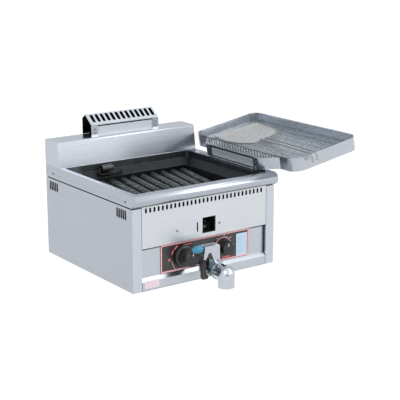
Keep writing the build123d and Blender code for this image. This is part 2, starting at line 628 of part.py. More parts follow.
# ---------------------------------------------------------------- drain cock
with BuildPart() as drain_pipe:
    with BuildLine() as drain_route:
        corners = [(0, DRAIN_Y, 85), (0, DRAIN_Y, DRAIN_Z), (0, VALVE_REAR, DRAIN_Z)]
        FilletPolyline(*corners, radius=27)
    with BuildSketch(Plane(origin=drain_route.line @ 0, z_dir=drain_route.line % 0)):
        Circle(DRAIN_PIPE_R)
        Circle(DRAIN_BORE, mode=Mode.SUBTRACT)
    sweep()
keep(drain_pipe, "drain_pipe")

GUARD_X, GUARD_Y, GUARD_TOP = (-45.0, 1.5), (-271.0, -268.0), 112.5
GUARD_FOOT = DRAIN_Z + ELBOW_R + 2.3
GUARD_SCREW, LUG_X = (-3.8, 71.0), (-29.0, 1.5)
GUARD_OUTLINE = (
    (-44, 110),
    (-41, GUARD_TOP),
    (-2, GUARD_TOP),
    (1.5, 109),
    (2.5, GUARD_FOOT),
    (-11.8, GUARD_FOOT),
    (-17, 74),
    (-22.5, 87),
    (-24, 92.5),
    (-27, 94.5),
    (-31, 94.3),
    (-34.5, 91.5),
    (-36.5, 86),
    (-41.5, 79.5),
    (-48, 79.5),
)
with BuildPart() as valve_body:
    with BuildSketch(Plane.XY.offset(DRAIN_Z)):
        with BuildLine():
            profile = [
                (0, VALVE_REAR - 9),
                (16, VALVE_REAR - 9),
                (19, STEM_Y + 9),
                (19.5, STEM_Y),
                (19, STEM_Y - 8),
                (17, STEM_Y - 11),
                (17, VALVE_FRONT),
                (0, VALVE_FRONT),
            ]
            Polyline(*profile, close=True)
        make_face()
    revolve(axis=Axis((0, 0, DRAIN_Z), (0, 1, 0)))
    with BuildSketch(Plane.XZ.offset(-VALVE_REAR)):
        with Locations((0, DRAIN_Z)):
            RegularPolygon(18, 6)
    extrude(amount=9)
    rod((-10, STEM_Y, DRAIN_Z), (LEVER_X[1] + 3, STEM_Y, DRAIN_Z), 8.5)
    slab(LUG_X, (VALVE_FRONT, VALVE_FRONT + 9), (DRAIN_Z + 10, 78))
    slab(LUG_X, (GUARD_Y[1], VALVE_FRONT), (GUARD_FOOT, 78))
    rod((GUARD_SCREW[0], GUARD_Y[1], GUARD_SCREW[1]), (GUARD_SCREW[0], GUARD_Y[1] + 6, GUARD_SCREW[1]), 1.5, Mode.SUBTRACT)
    rod((0, VALVE_REAR, DRAIN_Z), (0, VALVE_FRONT, DRAIN_Z), WATERWAY, Mode.SUBTRACT)
    with Locations((0, STEM_Y, DRAIN_Z)):
        Sphere(BALL_R + 0.1, mode=Mode.SUBTRACT)
    rod((0, STEM_Y, DRAIN_Z), (LEVER_X[1] + 3, STEM_Y, DRAIN_Z), STEM_R + FIT, Mode.SUBTRACT)
keep(valve_body, "valve_body")

with BuildPart() as valve_ball:
    with Locations((0, STEM_Y, DRAIN_Z)):
        Sphere(BALL_R)
    rod((0, STEM_Y, DRAIN_Z - 15), (0, STEM_Y, DRAIN_Z + 15), WATERWAY, Mode.SUBTRACT)
    rod((-10, STEM_Y, DRAIN_Z), (-15, STEM_Y, DRAIN_Z), STEM_R, Mode.SUBTRACT)
keep(valve_ball, "valve_ball")

NUT_X = (LEVER_X[0] - 4, LEVER_X[0])
with BuildPart() as valve_stem:
    rod((-10, STEM_Y, DRAIN_Z), (LEVER_X[0], STEM_Y, DRAIN_Z), STEM_R)
keep(valve_stem, "valve_stem")

LEVER_END, LEVER_HEAD = 27.0, 72.0
with BuildPart() as lever_arm:
    with BuildSketch(Plane.YZ.offset(LEVER_X[0])):
        with Locations((STEM_Y, DRAIN_Z)):
            Circle(9)
        with Locations((STEM_Y, (DRAIN_Z + LEVER_END) / 2)):
            Rectangle(11, DRAIN_Z - LEVER_END)
        with Locations((STEM_Y, DRAIN_Z)):
            Circle(STEM_R, mode=Mode.SUBTRACT)
    extrude(amount=LEVER_X[1] - LEVER_X[0])
keep(lever_arm, "lever_arm")

with BuildPart() as stem_nut:
    with BuildSketch(Plane.YZ.offset(NUT_X[0])):
        with Locations((STEM_Y, DRAIN_Z)):
            RegularPolygon(7, 6)
    extrude(amount=NUT_X[1] - NUT_X[0])
keep(stem_nut, "stem_nut")

with BuildPart() as lever_sleeve:
    foot = LEVER_END - 6
    with BuildSketch(Plane.YZ.offset(SLEEVE_X[0])):
        with Locations((STEM_Y, (LEVER_HEAD + foot) / 2)):
            SlotOverall(LEVER_HEAD - foot, 17, rotation=90)
    extrude(amount=LEVER_X[0] - SLEEVE_X[0])
    with BuildSketch(Plane.YZ.offset(LEVER_X[0])):
        with Locations((STEM_Y, (LEVER_HEAD + foot) / 2)):
            SlotOverall(LEVER_HEAD - foot, 17, rotation=90)
        with Locations((STEM_Y, DRAIN_Z - 9.5)):
            Rectangle(20, 60, align=(Align.CENTER, Align.MIN), mode=Mode.SUBTRACT)
    extrude(amount=SLEEVE_X[1] - LEVER_X[0])
    outer_edges = lever_sleeve.edges().group_by(Axis.X)[0]
    fillet(outer_edges, 3)
    slab(LEVER_X, (STEM_Y - 5.5, STEM_Y + 5.5), (LEVER_END, DRAIN_Z), Mode.SUBTRACT)
    with Locations((sum(LEVER_X) / 2, STEM_Y, DRAIN_Z)):
        Cylinder(9, LEVER_X[1] - LEVER_X[0], rotation=(0, 90, 0), mode=Mode.SUBTRACT)
    with BuildSketch(Plane.YZ.offset(NUT_X[0])):
        with Locations((STEM_Y, DRAIN_Z)):
            RegularPolygon(7, 6)
    extrude(amount=NUT_X[1] - NUT_X[0], mode=Mode.SUBTRACT)
keep(lever_sleeve, "lever_sleeve")

# the elbow: a short run to the front, a domed corner and the spout
SPOUT_SCREW_Z = 45.0
aim = Vector(-math.sin(math.radians(30)), -math.cos(math.radians(30)), 0)
screw_seat = Vector(0, SPOUT_Y, SPOUT_SCREW_Z) + aim * (SPOUT_R - 0.4)


def spout_shape(radius, foot, mode=Mode.ADD):
    """The spout's upright cylinder with its domed top."""
    with BuildSketch(Plane.XZ.offset(-SPOUT_Y)) as profile:
        with BuildLine():
            Line((0, foot), (radius, foot))
            Line((radius, foot), (radius, DRAIN_Z))
            CenterArc((0, DRAIN_Z), radius, 0, 90)
            Line((0, DRAIN_Z + radius), (0, foot))
        make_face()
    revolve(profile.sketch, axis=Axis((0, SPOUT_Y, 0), (0, 0, 1)), mode=mode)


with BuildPart() as drain_elbow:
    spout_shape(SPOUT_R, SPOUT_END)
    rod((0, SPOUT_Y, DRAIN_Z), (0, VALVE_FRONT, DRAIN_Z), ELBOW_R)
    rod((0, VALVE_FRONT - 2, DRAIN_Z), (0, VALVE_FRONT, DRAIN_Z), ELBOW_R + 1.5)
    spout_shape(SPOUT_BORE, SPOUT_END - 1, Mode.SUBTRACT)
    rod((0, SPOUT_Y, DRAIN_Z), (0, VALVE_FRONT, DRAIN_Z), ELBOW_BORE, Mode.SUBTRACT)
    rod(screw_seat - aim * 4.5, screw_seat, 1.6, Mode.SUBTRACT)
    rod(screw_seat, screw_seat + aim * 4, 3.6, Mode.SUBTRACT)
keep(drain_elbow, "drain_elbow")

with BuildPart() as elbow_screw:
    rod(screw_seat - aim * 3, screw_seat, 1.6)
    rod(screw_seat, screw_seat + aim * 2, 3.3)
keep(elbow_screw, "elbow_screw")

# the guard plate stands on the valve's lug, and its side flange carries the lock button
with BuildPart() as lock_plate:
    plate(Plane.XZ.offset(-GUARD_Y[1]), GUARD_OUTLINE, GUARD_Y[1] - GUARD_Y[0])
    slab((GUARD_X[0] + 3, GUARD_X[1] - 3), (GUARD_Y[1], -250), (GUARD_TOP - 2, GUARD_TOP))
    slab((GUARD_X[0] + 1, GUARD_X[0] + 3), (GUARD_Y[1], -250), (94, GUARD_TOP))
    rod((GUARD_X[0], BUTTON_Y, BUTTON_Z), (GUARD_X[0] + 5, BUTTON_Y, BUTTON_Z), BUTTON_PIN_R + FIT, Mode.SUBTRACT)
    rod((GUARD_SCREW[0], GUARD_Y[0], GUARD_SCREW[1]), (GUARD_SCREW[0], GUARD_Y[1], GUARD_SCREW[1]), 1.5, Mode.SUBTRACT)
keep(lock_plate, "lock_plate")

with BuildPart() as lock_plate_screw:
    pan_head(GUARD_SCREW[0], GUARD_Y[0], GUARD_SCREW[1], (0, -1, 0), head=3.2, length=9)
keep(lock_plate_screw, "lock_plate_screw")

BUTTON_X = (-79.0, -51.0)
with BuildPart() as lock_button:
    rod((BUTTON_X[0] + 17, BUTTON_Y, BUTTON_Z), (BUTTON_X[1], BUTTON_Y, BUTTON_Z), BUTTON_R)
    with BuildSketch(Plane.XZ.offset(-BUTTON_Y)):
        with BuildLine():
            EllipticalCenterArc((BUTTON_X[0] + 17, BUTTON_Z), 17, BUTTON_R, start_angle=90, arc_size=90)
            Line((BUTTON_X[0], BUTTON_Z), (BUTTON_X[0] + 17, BUTTON_Z))
            Line((BUTTON_X[0] + 17, BUTTON_Z), (BUTTON_X[0] + 17, BUTTON_Z + BUTTON_R))
        make_face()
    revolve(axis=Axis((0, BUTTON_Y, BUTTON_Z), (1, 0, 0)))
    rod((BUTTON_X[1], BUTTON_Y, BUTTON_Z), (-30, BUTTON_Y, BUTTON_Z), BUTTON_PIN_R)
keep(lock_button, "lock_button")

# ---------------------------------------------------------------- draining tray
def tray_rectangle(inset):
    """The tray's rounded rectangle, drawn on the tray's floor plane."""
    with Locations((TRAY_WIDTH / 2, TRAY_MIDDLE)):
        RectangleRounded(TRAY_WIDTH - 2 * inset, TRAY_LENGTH - 2 * inset, TRAY_CORNER - inset)


def mouth_outline(inset, start, end):
    """The mouth's splayed outline from start to end across the tray, narrowed by the sheet."""
    spread = (MOUTH_WALL_HALF - MOUTH_LIP_HALF) / MOUTH_REACH
    narrowing = inset * math.hypot(1, spread)
    low = MOUTH_WALL_HALF + spread * start - narrowing
    high = MOUTH_WALL_HALF + spread * end - narrowing
    return [
        (start, TRAY_MIDDLE - low),
        (end, TRAY_MIDDLE - high),
        (end, TRAY_MIDDLE + high),
        (start, TRAY_MIDDLE + low),
    ]


with BuildPart() as tray_pan:
    with BuildSketch(tray):
        tray_rectangle(0)
    extrude(amount=TRAY_HEIGHT)
    plate(tray, mouth_outline(0, 1, -MOUTH_REACH), MOUTH_HEIGHT)
    with BuildSketch(tray.offset(TRAY_SHEET)):
        tray_rectangle(TRAY_SHEET)
    extrude(amount=TRAY_HEIGHT, mode=Mode.SUBTRACT)
    inner_floor = tray.offset(TRAY_SHEET)
    plate(inner_floor, mouth_outline(TRAY_SHEET, 6, -MOUTH_REACH - 2), TRAY_HEIGHT, Mode.SUBTRACT)
    for side in (-1, 1):
        band = sorted((side * MOUTH_CLEAR_HALF, side * (MOUTH_LIP_HALF - 1)))
        with BuildSketch(tray):
            with Locations((-MOUTH_REACH + TRAY_SHEET / 2, TRAY_MIDDLE + sum(band) / 2)):
                Rectangle(TRAY_SHEET, band[1] - band[0])
        extrude(amount=MOUTH_HEIGHT)
    with BuildSketch(tray):
        with Locations((-(MOUTH_REACH + LIP_REACH) / 2 + 0.5, TRAY_MIDDLE)):
            Rectangle(LIP_REACH - MOUTH_REACH + 1, 2 * MOUTH_CLEAR_HALF)
    extrude(amount=TRAY_SHEET)
    with BuildSketch(tray.offset(TRAY_SHEET)):
        with Locations((-LIP_REACH + TRAY_SHEET / 2, TRAY_MIDDLE)):
            Rectangle(TRAY_SHEET, 2 * MOUTH_CLEAR_HALF)
    extrude(amount=-LIP_DROP)
keep(tray_pan, "tray_pan")

with BuildPart() as mouth_strainer:
    with BuildSketch(inner_floor):
        with Locations((-MOUTH_REACH + 1, TRAY_MIDDLE)):
            Rectangle(2, 2 * MOUTH_CLEAR_HALF)
    extrude(amount=MOUTH_HEIGHT - TRAY_SHEET)
    mesh_side = Plane(origin=on_tray(-MOUTH_REACH, TRAY_MIDDLE, 17), x_dir=(0, 1, 0), z_dir=-tray.x_dir)
    with BuildSketch(mesh_side):
        Rectangle(2 * MOUTH_CLEAR_HALF - 8, MOUTH_HEIGHT - 10)
    extrude(amount=-0.6, mode=Mode.SUBTRACT)
    with BuildSketch(mesh_side.offset(-2)):
        Rectangle(2 * MOUTH_CLEAR_HALF - 8, MOUTH_HEIGHT - 10)
    extrude(amount=0.6, mode=Mode.SUBTRACT)
keep(mouth_strainer, "mouth_strainer")

# a leg plate bears on the cabinet's side, and two gussets carry the pan's floor
BRACKET_Y = (TRAY_CORNER_POINT[1] + TRAY_MIDDLE - 60, TRAY_CORNER_POINT[1] + TRAY_MIDDLE + 60)
with BuildPart() as tray_bracket:
    leg_x = HALF + 0.4
    reach_x = 320.0
    climb = math.tan(tray_tilt)

    def floor_at(x):
        return TRAY_CORNER_POINT[2] + (x - TRAY_CORNER_POINT[0]) * climb

    leg = [(leg_x, 200), (leg_x + 2, 200), (leg_x + 2, floor_at(leg_x + 2)), (leg_x, floor_at(leg_x))]
    plate(Plane.XZ.offset(-BRACKET_Y[1]), leg, BRACKET_Y[1] - BRACKET_Y[0])
    shelf = [
        (leg_x, floor_at(leg_x) - 2),
        (reach_x, floor_at(reach_x) - 2),
        (reach_x, floor_at(reach_x)),
        (leg_x, floor_at(leg_x)),
    ]
    plate(Plane.XZ.offset(-BRACKET_Y[1]), shelf, BRACKET_Y[1] - BRACKET_Y[0])
    gusset = [(leg_x + 1, 205), (leg_x + 1, floor_at(leg_x) - 1), (reach_x - 5, floor_at(reach_x - 5) - 1)]
    for y in (BRACKET_Y[1], BRACKET_Y[0] + 2):
        plate(Plane.XZ.offset(-y), gusset, 2)
keep(tray_bracket, "tray_bracket")

with BuildPart() as tray_pads:
    for side in (-1, 1):
        middle = TRAY_CORNER_POINT[1] + TRAY_MIDDLE + side * 105
        pad = [(193, DECK_TOP + 0.2), (214, DECK_TOP + 0.2), (214, floor_at(214)), (193, floor_at(193))]
        plate(Plane.XZ.offset(-middle - 6), pad, 12)
keep(tray_pads, "tray_pads")

# the rack's thin wires lie on its rim wire and on three long bars, welded 0.3 mm deep
RIM_WIRE, BAR_WIRE, LEG_WIRE, THIN_WIRE, WELD = 1.8, 1.5, 1.2, 1.0, 0.3
BAR_X = (45.0, TRAY_WIDTH / 2, TRAY_WIDTH - 45.0)
LEG_Y = (40.0, TRAY_MIDDLE, TRAY_LENGTH - 40.0)
with BuildPart() as drain_rack:
    edge, high_x, high_y = RACK_MARGIN, TRAY_WIDTH - RACK_MARGIN, TRAY_LENGTH - RACK_MARGIN
    corner = TRAY_CORNER - RACK_MARGIN
    bar_level = RACK_LEVEL + RIM_WIRE - BAR_WIRE
    thin_level = RACK_LEVEL + RIM_WIRE + THIN_WIRE - WELD
    with BuildLine(tray.offset(RACK_LEVEL)) as rack_rim:
        FilletPolyline((edge, edge), (high_x, edge), (high_x, high_y), (edge, high_y), radius=corner, close=True)
    with BuildSketch(Plane(origin=rack_rim.line @ 0, z_dir=rack_rim.line % 0)):
        Circle(RIM_WIRE)
    sweep()
    for x in BAR_X:
        rod(on_tray(x, edge, bar_level), on_tray(x, high_y, bar_level), BAR_WIRE)
        for y in LEG_Y:
            rod(on_tray(x, y, TRAY_SHEET + 0.3), on_tray(x, y, bar_level), LEG_WIRE)
    wire_count = int((TRAY_LENGTH - 2 * edge - 8) // RACK_PITCH)
    for i in range(wire_count):
        y = TRAY_MIDDLE + (i - (wire_count - 1) / 2) * RACK_PITCH
        into_corner = max(0.0, corner - min(y - edge, high_y - y))
        short = corner - math.sqrt(corner**2 - into_corner**2)
        rod(on_tray(edge + short, y, thin_level), on_tray(high_x - short, y, thin_level), THIN_WIRE)
keep(drain_rack, "drain_rack")

# ---------------------------------------------------------------- skimmer
NET_OUTLINE = ((50, 412), (198, 405), (184, 302), (162, 273), (108, 262), (74, 262), (50, 296), (42, 350))
NECK_X, NECK_Y, ROD_GAP = 106.0, 264.0, 16.0
with BuildPart() as skimmer_frame:
    with BuildLine(tray.offset(NET_LEVEL)) as net_rim:
        FilletPolyline(*NET_OUTLINE, radius=11, close=True)
    with BuildSketch(Plane(origin=net_rim.line @ 0, z_dir=net_rim.line % 0)):
        Circle(1.8)
    sweep()
keep(skimmer_frame, "skimmer_frame")

with BuildPart() as skimmer_mesh:
    with BuildSketch(tray.offset(NET_LEVEL - 0.5)):
        with BuildLine():
            FilletPolyline(*NET_OUTLINE, radius=11, close=True)
        make_face()
        offset(amount=-1.9, mode=Mode.REPLACE)
    extrude(amount=1.0)
keep(skimmer_mesh, "skimmer_mesh")

with BuildPart() as skimmer_handle:
    def handle_run(side):
        half = side * ROD_GAP / 2
        return [
            on_tray(NECK_X + half, NECK_Y - 3, NET_LEVEL + 3.9),
            on_tray(NECK_X - 3 + half, 205, NET_LEVEL + 5),
            on_tray(62 + half, 45, TRAY_HEIGHT + 3),
            on_tray(52 + half, -16, TRAY_HEIGHT + 6),
            on_tray(51 + half, -18, 20),
        ]

    with BuildLine() as handle_route:
        FilletPolyline(*handle_run(-1), *reversed(handle_run(1)), radius=5)
    with BuildSketch(Plane(origin=handle_route.line @ 0, z_dir=handle_route.line % 0)):
        Circle(2.1)
    sweep()
keep(skimmer_handle, "skimmer_handle")
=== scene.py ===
import json
import math

import bmesh
import bpy
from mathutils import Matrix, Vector


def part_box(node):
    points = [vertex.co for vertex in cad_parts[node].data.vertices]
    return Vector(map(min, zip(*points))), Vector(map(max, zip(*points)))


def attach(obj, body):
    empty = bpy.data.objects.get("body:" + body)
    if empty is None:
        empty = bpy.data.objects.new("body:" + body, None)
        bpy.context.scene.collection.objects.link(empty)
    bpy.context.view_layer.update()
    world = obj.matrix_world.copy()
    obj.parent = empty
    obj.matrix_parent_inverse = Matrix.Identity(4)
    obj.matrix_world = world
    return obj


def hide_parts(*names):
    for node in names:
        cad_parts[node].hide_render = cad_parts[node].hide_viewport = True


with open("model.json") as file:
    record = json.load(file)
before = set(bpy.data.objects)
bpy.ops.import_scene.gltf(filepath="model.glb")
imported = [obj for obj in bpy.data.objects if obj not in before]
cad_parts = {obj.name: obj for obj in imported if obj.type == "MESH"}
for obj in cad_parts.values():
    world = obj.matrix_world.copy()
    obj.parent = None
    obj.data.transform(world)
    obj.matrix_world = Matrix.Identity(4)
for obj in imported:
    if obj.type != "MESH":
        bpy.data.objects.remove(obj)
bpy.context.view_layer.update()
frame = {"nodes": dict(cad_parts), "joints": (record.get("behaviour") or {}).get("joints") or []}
nodes = frame["nodes"]
MM = 0.001


# ---------------------------------------------------------------- material helpers
class Nodes:
    """A material with one Principled shader, and short calls that add nodes to it."""

    def __init__(self, name, metallic, roughness, colour=(0.8, 0.8, 0.8), **sockets):
        self.material = bpy.data.materials.new(name)
        self.material.use_nodes = True
        self.tree = self.material.node_tree
        self.shader = self.tree.nodes["Principled BSDF"]
        self.shader.inputs["Metallic"].default_value = metallic
        self.shader.inputs["Roughness"].default_value = roughness
        self.shader.inputs["Base Color"].default_value = (*colour, 1)
        for socket, value in sockets.items():
            self.shader.inputs[socket.replace("_", " ")].default_value = value
        self.position = self.add("ShaderNodeTexCoord").outputs["Object"]

    def add(self, kind, **settings):
        node = self.tree.nodes.new(kind)
        for key, value in settings.items():
            setattr(node, key, value)
        return node

    def link(self, output, target):
        self.tree.links.new(output, target)

    def scaled(self, scale, turn=(0, 0, 0)):
        """The object position, stretched and turned, as texture coordinates."""
        mapping = self.add("ShaderNodeMapping")
        mapping.inputs["Scale"].default_value = scale
        mapping.inputs["Rotation"].default_value = turn
        self.link(self.position, mapping.inputs["Vector"])
        return mapping.outputs["Vector"]

    def noise(self, scale, detail=3.0, rough=0.5, stretch=(1, 1, 1), turn=(0, 0, 0)):
        texture = self.add("ShaderNodeTexNoise")
        texture.inputs["Scale"].default_value = scale
        texture.inputs["Detail"].default_value = detail
        texture.inputs["Roughness"].default_value = rough
        self.link(self.scaled(stretch, turn), texture.inputs["Vector"])
        return texture.outputs["Fac"]

    def ramp(self, factor, *stops):
        """A colour ramp through (position, grey or colour) stops."""
        ramp = self.add("ShaderNodeValToRGB")
        elements = ramp.color_ramp.elements
        while len(elements) < len(stops):
            elements.new(0.5)
        for element, (place, colour) in zip(elements, stops):
            element.position = place
            colour = (colour,) * 3 if isinstance(colour, (int, float)) else colour
            element.color = (*colour, 1)
        self.link(factor, ramp.inputs["Fac"])
        return ramp.outputs["Color"]

    def mix(self, factor, first, second, mode="MIX"):
        """Two colours blended, where each may be a number, a colour or a node's output."""
        mix = self.add("ShaderNodeMix", data_type="RGBA", blend_type=mode)
        for value, socket in ((factor, mix.inputs[0]), (first, mix.inputs[6]), (second, mix.inputs[7])):
            if isinstance(value, bpy.types.NodeSocket):
                self.link(value, socket)
            elif isinstance(value, (int, float)):
                socket.default_value = value
            else:
                socket.default_value = (*value, 1)
        return mix.outputs[2]

    def span(self, factor, low, high):
        """A 0 to 1 value, spread between low and high."""
        span = self.add("ShaderNodeMapRange")
        span.inputs["To Min"].default_value = low
        span.inputs["To Max"].default_value = high
        self.link(factor, span.inputs["Value"])
        return span.outputs["Result"]

    def beyond(self, direction, low, high, absolute=False):
        """0 below low and 1 above high along a direction, or both ways from the origin."""
        dot = self.add("ShaderNodeVectorMath", operation="DOT_PRODUCT")
        self.link(self.position, dot.inputs[0])
        dot.inputs[1].default_value = direction
        value = dot.outputs["Value"]
        if absolute:
            size = self.add("ShaderNodeMath", operation="ABSOLUTE")
            self.link(value, size.inputs[0])
            value = size.outputs[0]
        span = self.add("ShaderNodeMapRange")
        span.inputs["From Min"].default_value = low
        span.inputs["From Max"].default_value = high
        self.link(value, span.inputs["Value"])
        return span.outputs["Result"]

    def both(self, first, second):
        """The product of two masks."""
        product = self.add("ShaderNodeMath", operation="MULTIPLY")
        self.link(first, product.inputs[0])
        self.link(second, product.inputs[1])
        return product.outputs[0]

    def inverse(self, value):
        """1 less the mask."""
        turned = self.add("ShaderNodeMath", operation="SUBTRACT")
        turned.inputs[0].default_value = 1
        self.link(value, turned.inputs[1])
        return turned.outputs[0]

    def colour(self, output):
        self.link(output, self.shader.inputs["Base Color"])

    def roughness(self, output):
        self.link(output, self.shader.inputs["Roughness"])

    def bump(self, output, strength, distance):
        bump = self.add("ShaderNodeBump")
        bump.inputs["Strength"].default_value = strength
        bump.inputs["Distance"].default_value = distance
        self.link(output, bump.inputs["Height"])
        self.link(bump.outputs["Normal"], self.shader.inputs["Normal"])


GRAIN_ALONG_X = (0.02, 1, 1)
GRAIN_ALONG_Y = (1, 0.02, 1)
GRAIN_ALONG_Z = (1, 1, 0.02)


def brushed_steel(
    name, tone, grain, roughness=0.24, smudge=0.06, metallic=1.0,
    shade=None, dark=0.03, bright=None, lift=1.13,
):
    """Satin stainless sheet: fine lines along its grain and faint smudges.

    It has the grey dark where the mask shade is 1, and its tone times lift where bright is 1.
    """
    steel = Nodes(name, metallic, roughness, tone)
    lines = steel.noise(900, 4, 0.65, grain)
    smears = steel.noise(9, 4, 0.6)
    dull = tuple(c * (1 - smudge) for c in tone)
    light = tuple(min(1, c * (1 + smudge * 0.6)) for c in tone)
    base = steel.mix(smears, dull, light)
    streaks = steel.ramp(lines, (0.3, 0.9), (0.7, 1.0))
    finish = steel.mix(1.0, base, streaks, "MULTIPLY")
    if bright:
        finish = steel.mix(bright(steel), finish, tuple(c * lift for c in tone))
    if shade:
        finish = steel.mix(shade(steel), finish, (dark, dark * 1.05, dark * 1.1))
    steel.colour(finish)
    uneven = steel.mix(0.35, lines, smears)
    steel.roughness(steel.span(uneven, roughness - 0.09, roughness + 0.12))
    steel.bump(lines, 0.25, 0.00004)
    return steel.material


def worn_metal(name, tone, roughness, patch_tone, patch_scale=30, metallic=1.0, bump=0.00008):
    """Plain or cast metal with darker patches in it."""
    metal = Nodes(name, metallic, roughness, tone)
    patches = metal.noise(patch_scale, 5, 0.62)
    grit = metal.noise(1400, 2, 0.5)
    metal.colour(metal.mix(metal.ramp(patches, (0.36, 0.0), (0.68, 1.0)), tone, patch_tone))
    metal.roughness(metal.span(patches, roughness - 0.06, roughness + 0.14))
    metal.bump(grit, 0.3, bump)
    return metal.material


def moulded(name, tone, roughness, grain_scale=2200, depth=0.00003, coat=0.0):
    """Moulded plastic or enamel with a very fine grain and slightly uneven gloss."""
    plastic = Nodes(name, 0.0, roughness, tone, Coat_Weight=coat)
    grain = plastic.noise(grain_scale, 2, 0.5)
    dust = plastic.noise(60, 5, 0.7)
    lifted = tuple(min(1.0, c + 0.02) for c in tone)
    plastic.colour(plastic.mix(plastic.ramp(dust, (0.45, 0.0), (0.8, 1.0)), tone, lifted))
    plastic.roughness(plastic.span(dust, roughness - 0.04, roughness + 0.1))
    plastic.bump(grain, 0.35, depth)
    return plastic.material


OIL_LINE, RIM_LINE, LINE_BLUR = 0.2215, 0.2385, 0.002


def oil_darkened_steel(name, level, lit_side=None):
    """The inside of the pot: cooked-on oil, a dark shoulder above it and a lighter rim.

    Where the mask given last is 1, it is painted lighter, as lit.
    """
    pot = Nodes(name, 1.0, 0.42, (0.1, 0.1, 0.1))
    stains = pot.noise(24, 6, 0.65)
    runs = pot.noise(60, 4, 0.6, (1, 1, 0.15))
    lows, highs = [
        [tuple(c * level for c in tone) for tone in pair]
        for pair in (
            ((0.022, 0.026, 0.027), (0.065, 0.073, 0.076)),
            ((0.040, 0.046, 0.050), (0.115, 0.130, 0.145)),
        )
    ]
    shoulder = pot.mix(stains, *[tuple(c * 0.4 for c in tone) for tone in highs])
    above_oil = pot.beyond((0, 0, 1), OIL_LINE, OIL_LINE + LINE_BLUR)
    rim = pot.beyond((0, 0, 1), RIM_LINE, RIM_LINE + LINE_BLUR)
    finish = pot.mix(above_oil, pot.mix(stains, *lows), shoulder)
    finish = pot.mix(rim, finish, pot.mix(runs, *highs))
    # painted light: the pot's lit end is lighter
    if lit_side:
        finish = pot.mix(lit_side(pot), finish, pot.mix(stains, (0.10, 0.105, 0.115), (0.30, 0.31, 0.34)))
    pot.colour(finish)
    pot.roughness(pot.span(stains, 0.3, 0.6))
    pot.bump(stains, 0.4, 0.0002)
    return pot.material


# where the tubes' painted shade begins and where it is fullest
LIGHTEST_X, SHADIEST_X = -0.16, -0.03


def heat_darkened_tubes():
    """Fire tubes with baked oil and bright flecks, and painted shade that darkens them towards the right."""
    tubes = Nodes("tube_steel", 1.0, 0.4, (0.1, 0.1, 0.1))
    crust = tubes.noise(70, 6, 0.7)
    bands = tubes.noise(16, 3, 0.5, (0.2, 1, 0.2))
    flecks = tubes.ramp(tubes.noise(230, 3, 0.75, (1, 0.5, 1)), (0.52, 0.0), (0.7, 1.0))
    dark = tubes.mix(crust, (0.022, 0.025, 0.026), (0.12, 0.132, 0.138))
    worn = tubes.mix(tubes.ramp(bands, (0.4, 0.0), (0.7, 0.7)), dark, (0.22, 0.24, 0.25))
    lit_side = tubes.mix(flecks, worn, (0.52, 0.54, 0.55))
    shaded = tubes.mix(0.4, lit_side, (0.03, 0.033, 0.034))
    # painted shade: darker towards the right, where less light falls
    tubes.colour(tubes.mix(tubes.beyond((1, 0, 0), LIGHTEST_X, SHADIEST_X), lit_side, shaded))
    tubes.roughness(tubes.span(crust, 0.28, 0.6))
    tubes.bump(crust, 0.5, 0.0003)
    return tubes.material


# ---------------------------------------------------------------- the tray's slope
tray_slide = next(joint for joint in frame["joints"] if joint["name"] == "drain_rack_lift")
TRAY_UP = Vector(tray_slide["axis"])
TRAY_ACROSS = Vector((TRAY_UP.z, 0, -TRAY_UP.x))
LEG_FOOT, RACK_EDGE = 1.8 * MM, 219.8 * MM
rack_points = [vert.co for vert in nodes["drain_rack"].data.vertices]
tray_floor = min(p.dot(TRAY_UP) for p in rack_points) - LEG_FOOT
tray_left = max(p.dot(TRAY_ACROSS) for p in rack_points) - RACK_EDGE

# ---------------------------------------------------------------- where painted shade and painted light lie
# the hood's front slope rises to its ridge, and a short one falls away behind
HOOD_RISE, HOOD_RUN = 0.025, 0.033
HOOD_FALL, HOOD_TOP_DEPTH = 0.012, 0.016
SKIN = 0.0008

# where each mask below begins and ends, in metres
POST_EDGE, POST_FACE, POST_DEPTH = 0.194, 0.0002, 0.0025
OVERHANG_TOP, OVERHANG_FOOT, RECESS_Y = 0.0052, 0.0078, -0.2075
NOSE_Y, NOSE_FOOT, NOSE_TOP = -0.2165, 0.0035, 0.0075
RIGHT_WALL, WALL_BLUR = 0.220, 0.002
# where the pot's painted light fades out
LIT_END, LIT_BLUR = 0.035, 0.017
post_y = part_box("side_panel_right")[0].y


def inside(steel, outward, point):
    """1 deeper than a skin below the face through point that looks outward."""
    outward = Vector(outward).normalized()
    level = outward.dot(Vector(point))
    return steel.inverse(steel.beyond(outward, level - SKIN, level - SKIN / 2))


def hood_inside(steel):
    """The hood's inner faces, below its slopes, behind its front and left of its closed end: painted shade
    darkens them.
    """
    low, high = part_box("flue_hood")
    under = inside(steel, (0, -HOOD_RISE, HOOD_RUN), (0, low.y, high.z - HOOD_RISE))
    below = inside(steel, (0, HOOD_FALL, HOOD_TOP_DEPTH), (0, high.y, high.z - HOOD_FALL))
    mask = steel.both(under, below)
    for outward, corner in (((0, -1, 0), low), ((0, 1, 0), high), ((1, 0, 0), high)):
        mask = steel.both(mask, inside(steel, outward, corner))
    return mask


def post_return(steel):
    """The inner face of each front post, where the lower panel stands back from it: painted shade for that
    recess.
    """
    inner_x = (POST_EDGE + POST_FACE, POST_EDGE + 3 * POST_FACE)
    inner = steel.inverse(steel.beyond((1, 0, 0), *inner_x, absolute=True))
    return steel.both(inner, steel.beyond((0, 1, 0), post_y + POST_DEPTH, post_y + POST_DEPTH + 0.002))


def post_front(steel):
    """The front faces of the two posts, painted lighter as the light that falls on them."""
    return steel.inverse(steel.beyond((0, 1, 0), post_y + POST_FACE, post_y + 3 * POST_FACE))


def far_walls(steel):
    """The rear and right walls of the tray's pan, which face the light."""
    rear_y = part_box("tray_pan")[1].y - 2 * WALL_BLUR
    rear = steel.beyond((0, 1, 0), rear_y, rear_y + WALL_BLUR)
    right_x = tray_left + RIGHT_WALL
    right = steel.beyond(TRAY_ACROSS, right_x, right_x + WALL_BLUR)
    return steel.inverse(steel.both(steel.inverse(rear), steel.inverse(right)))


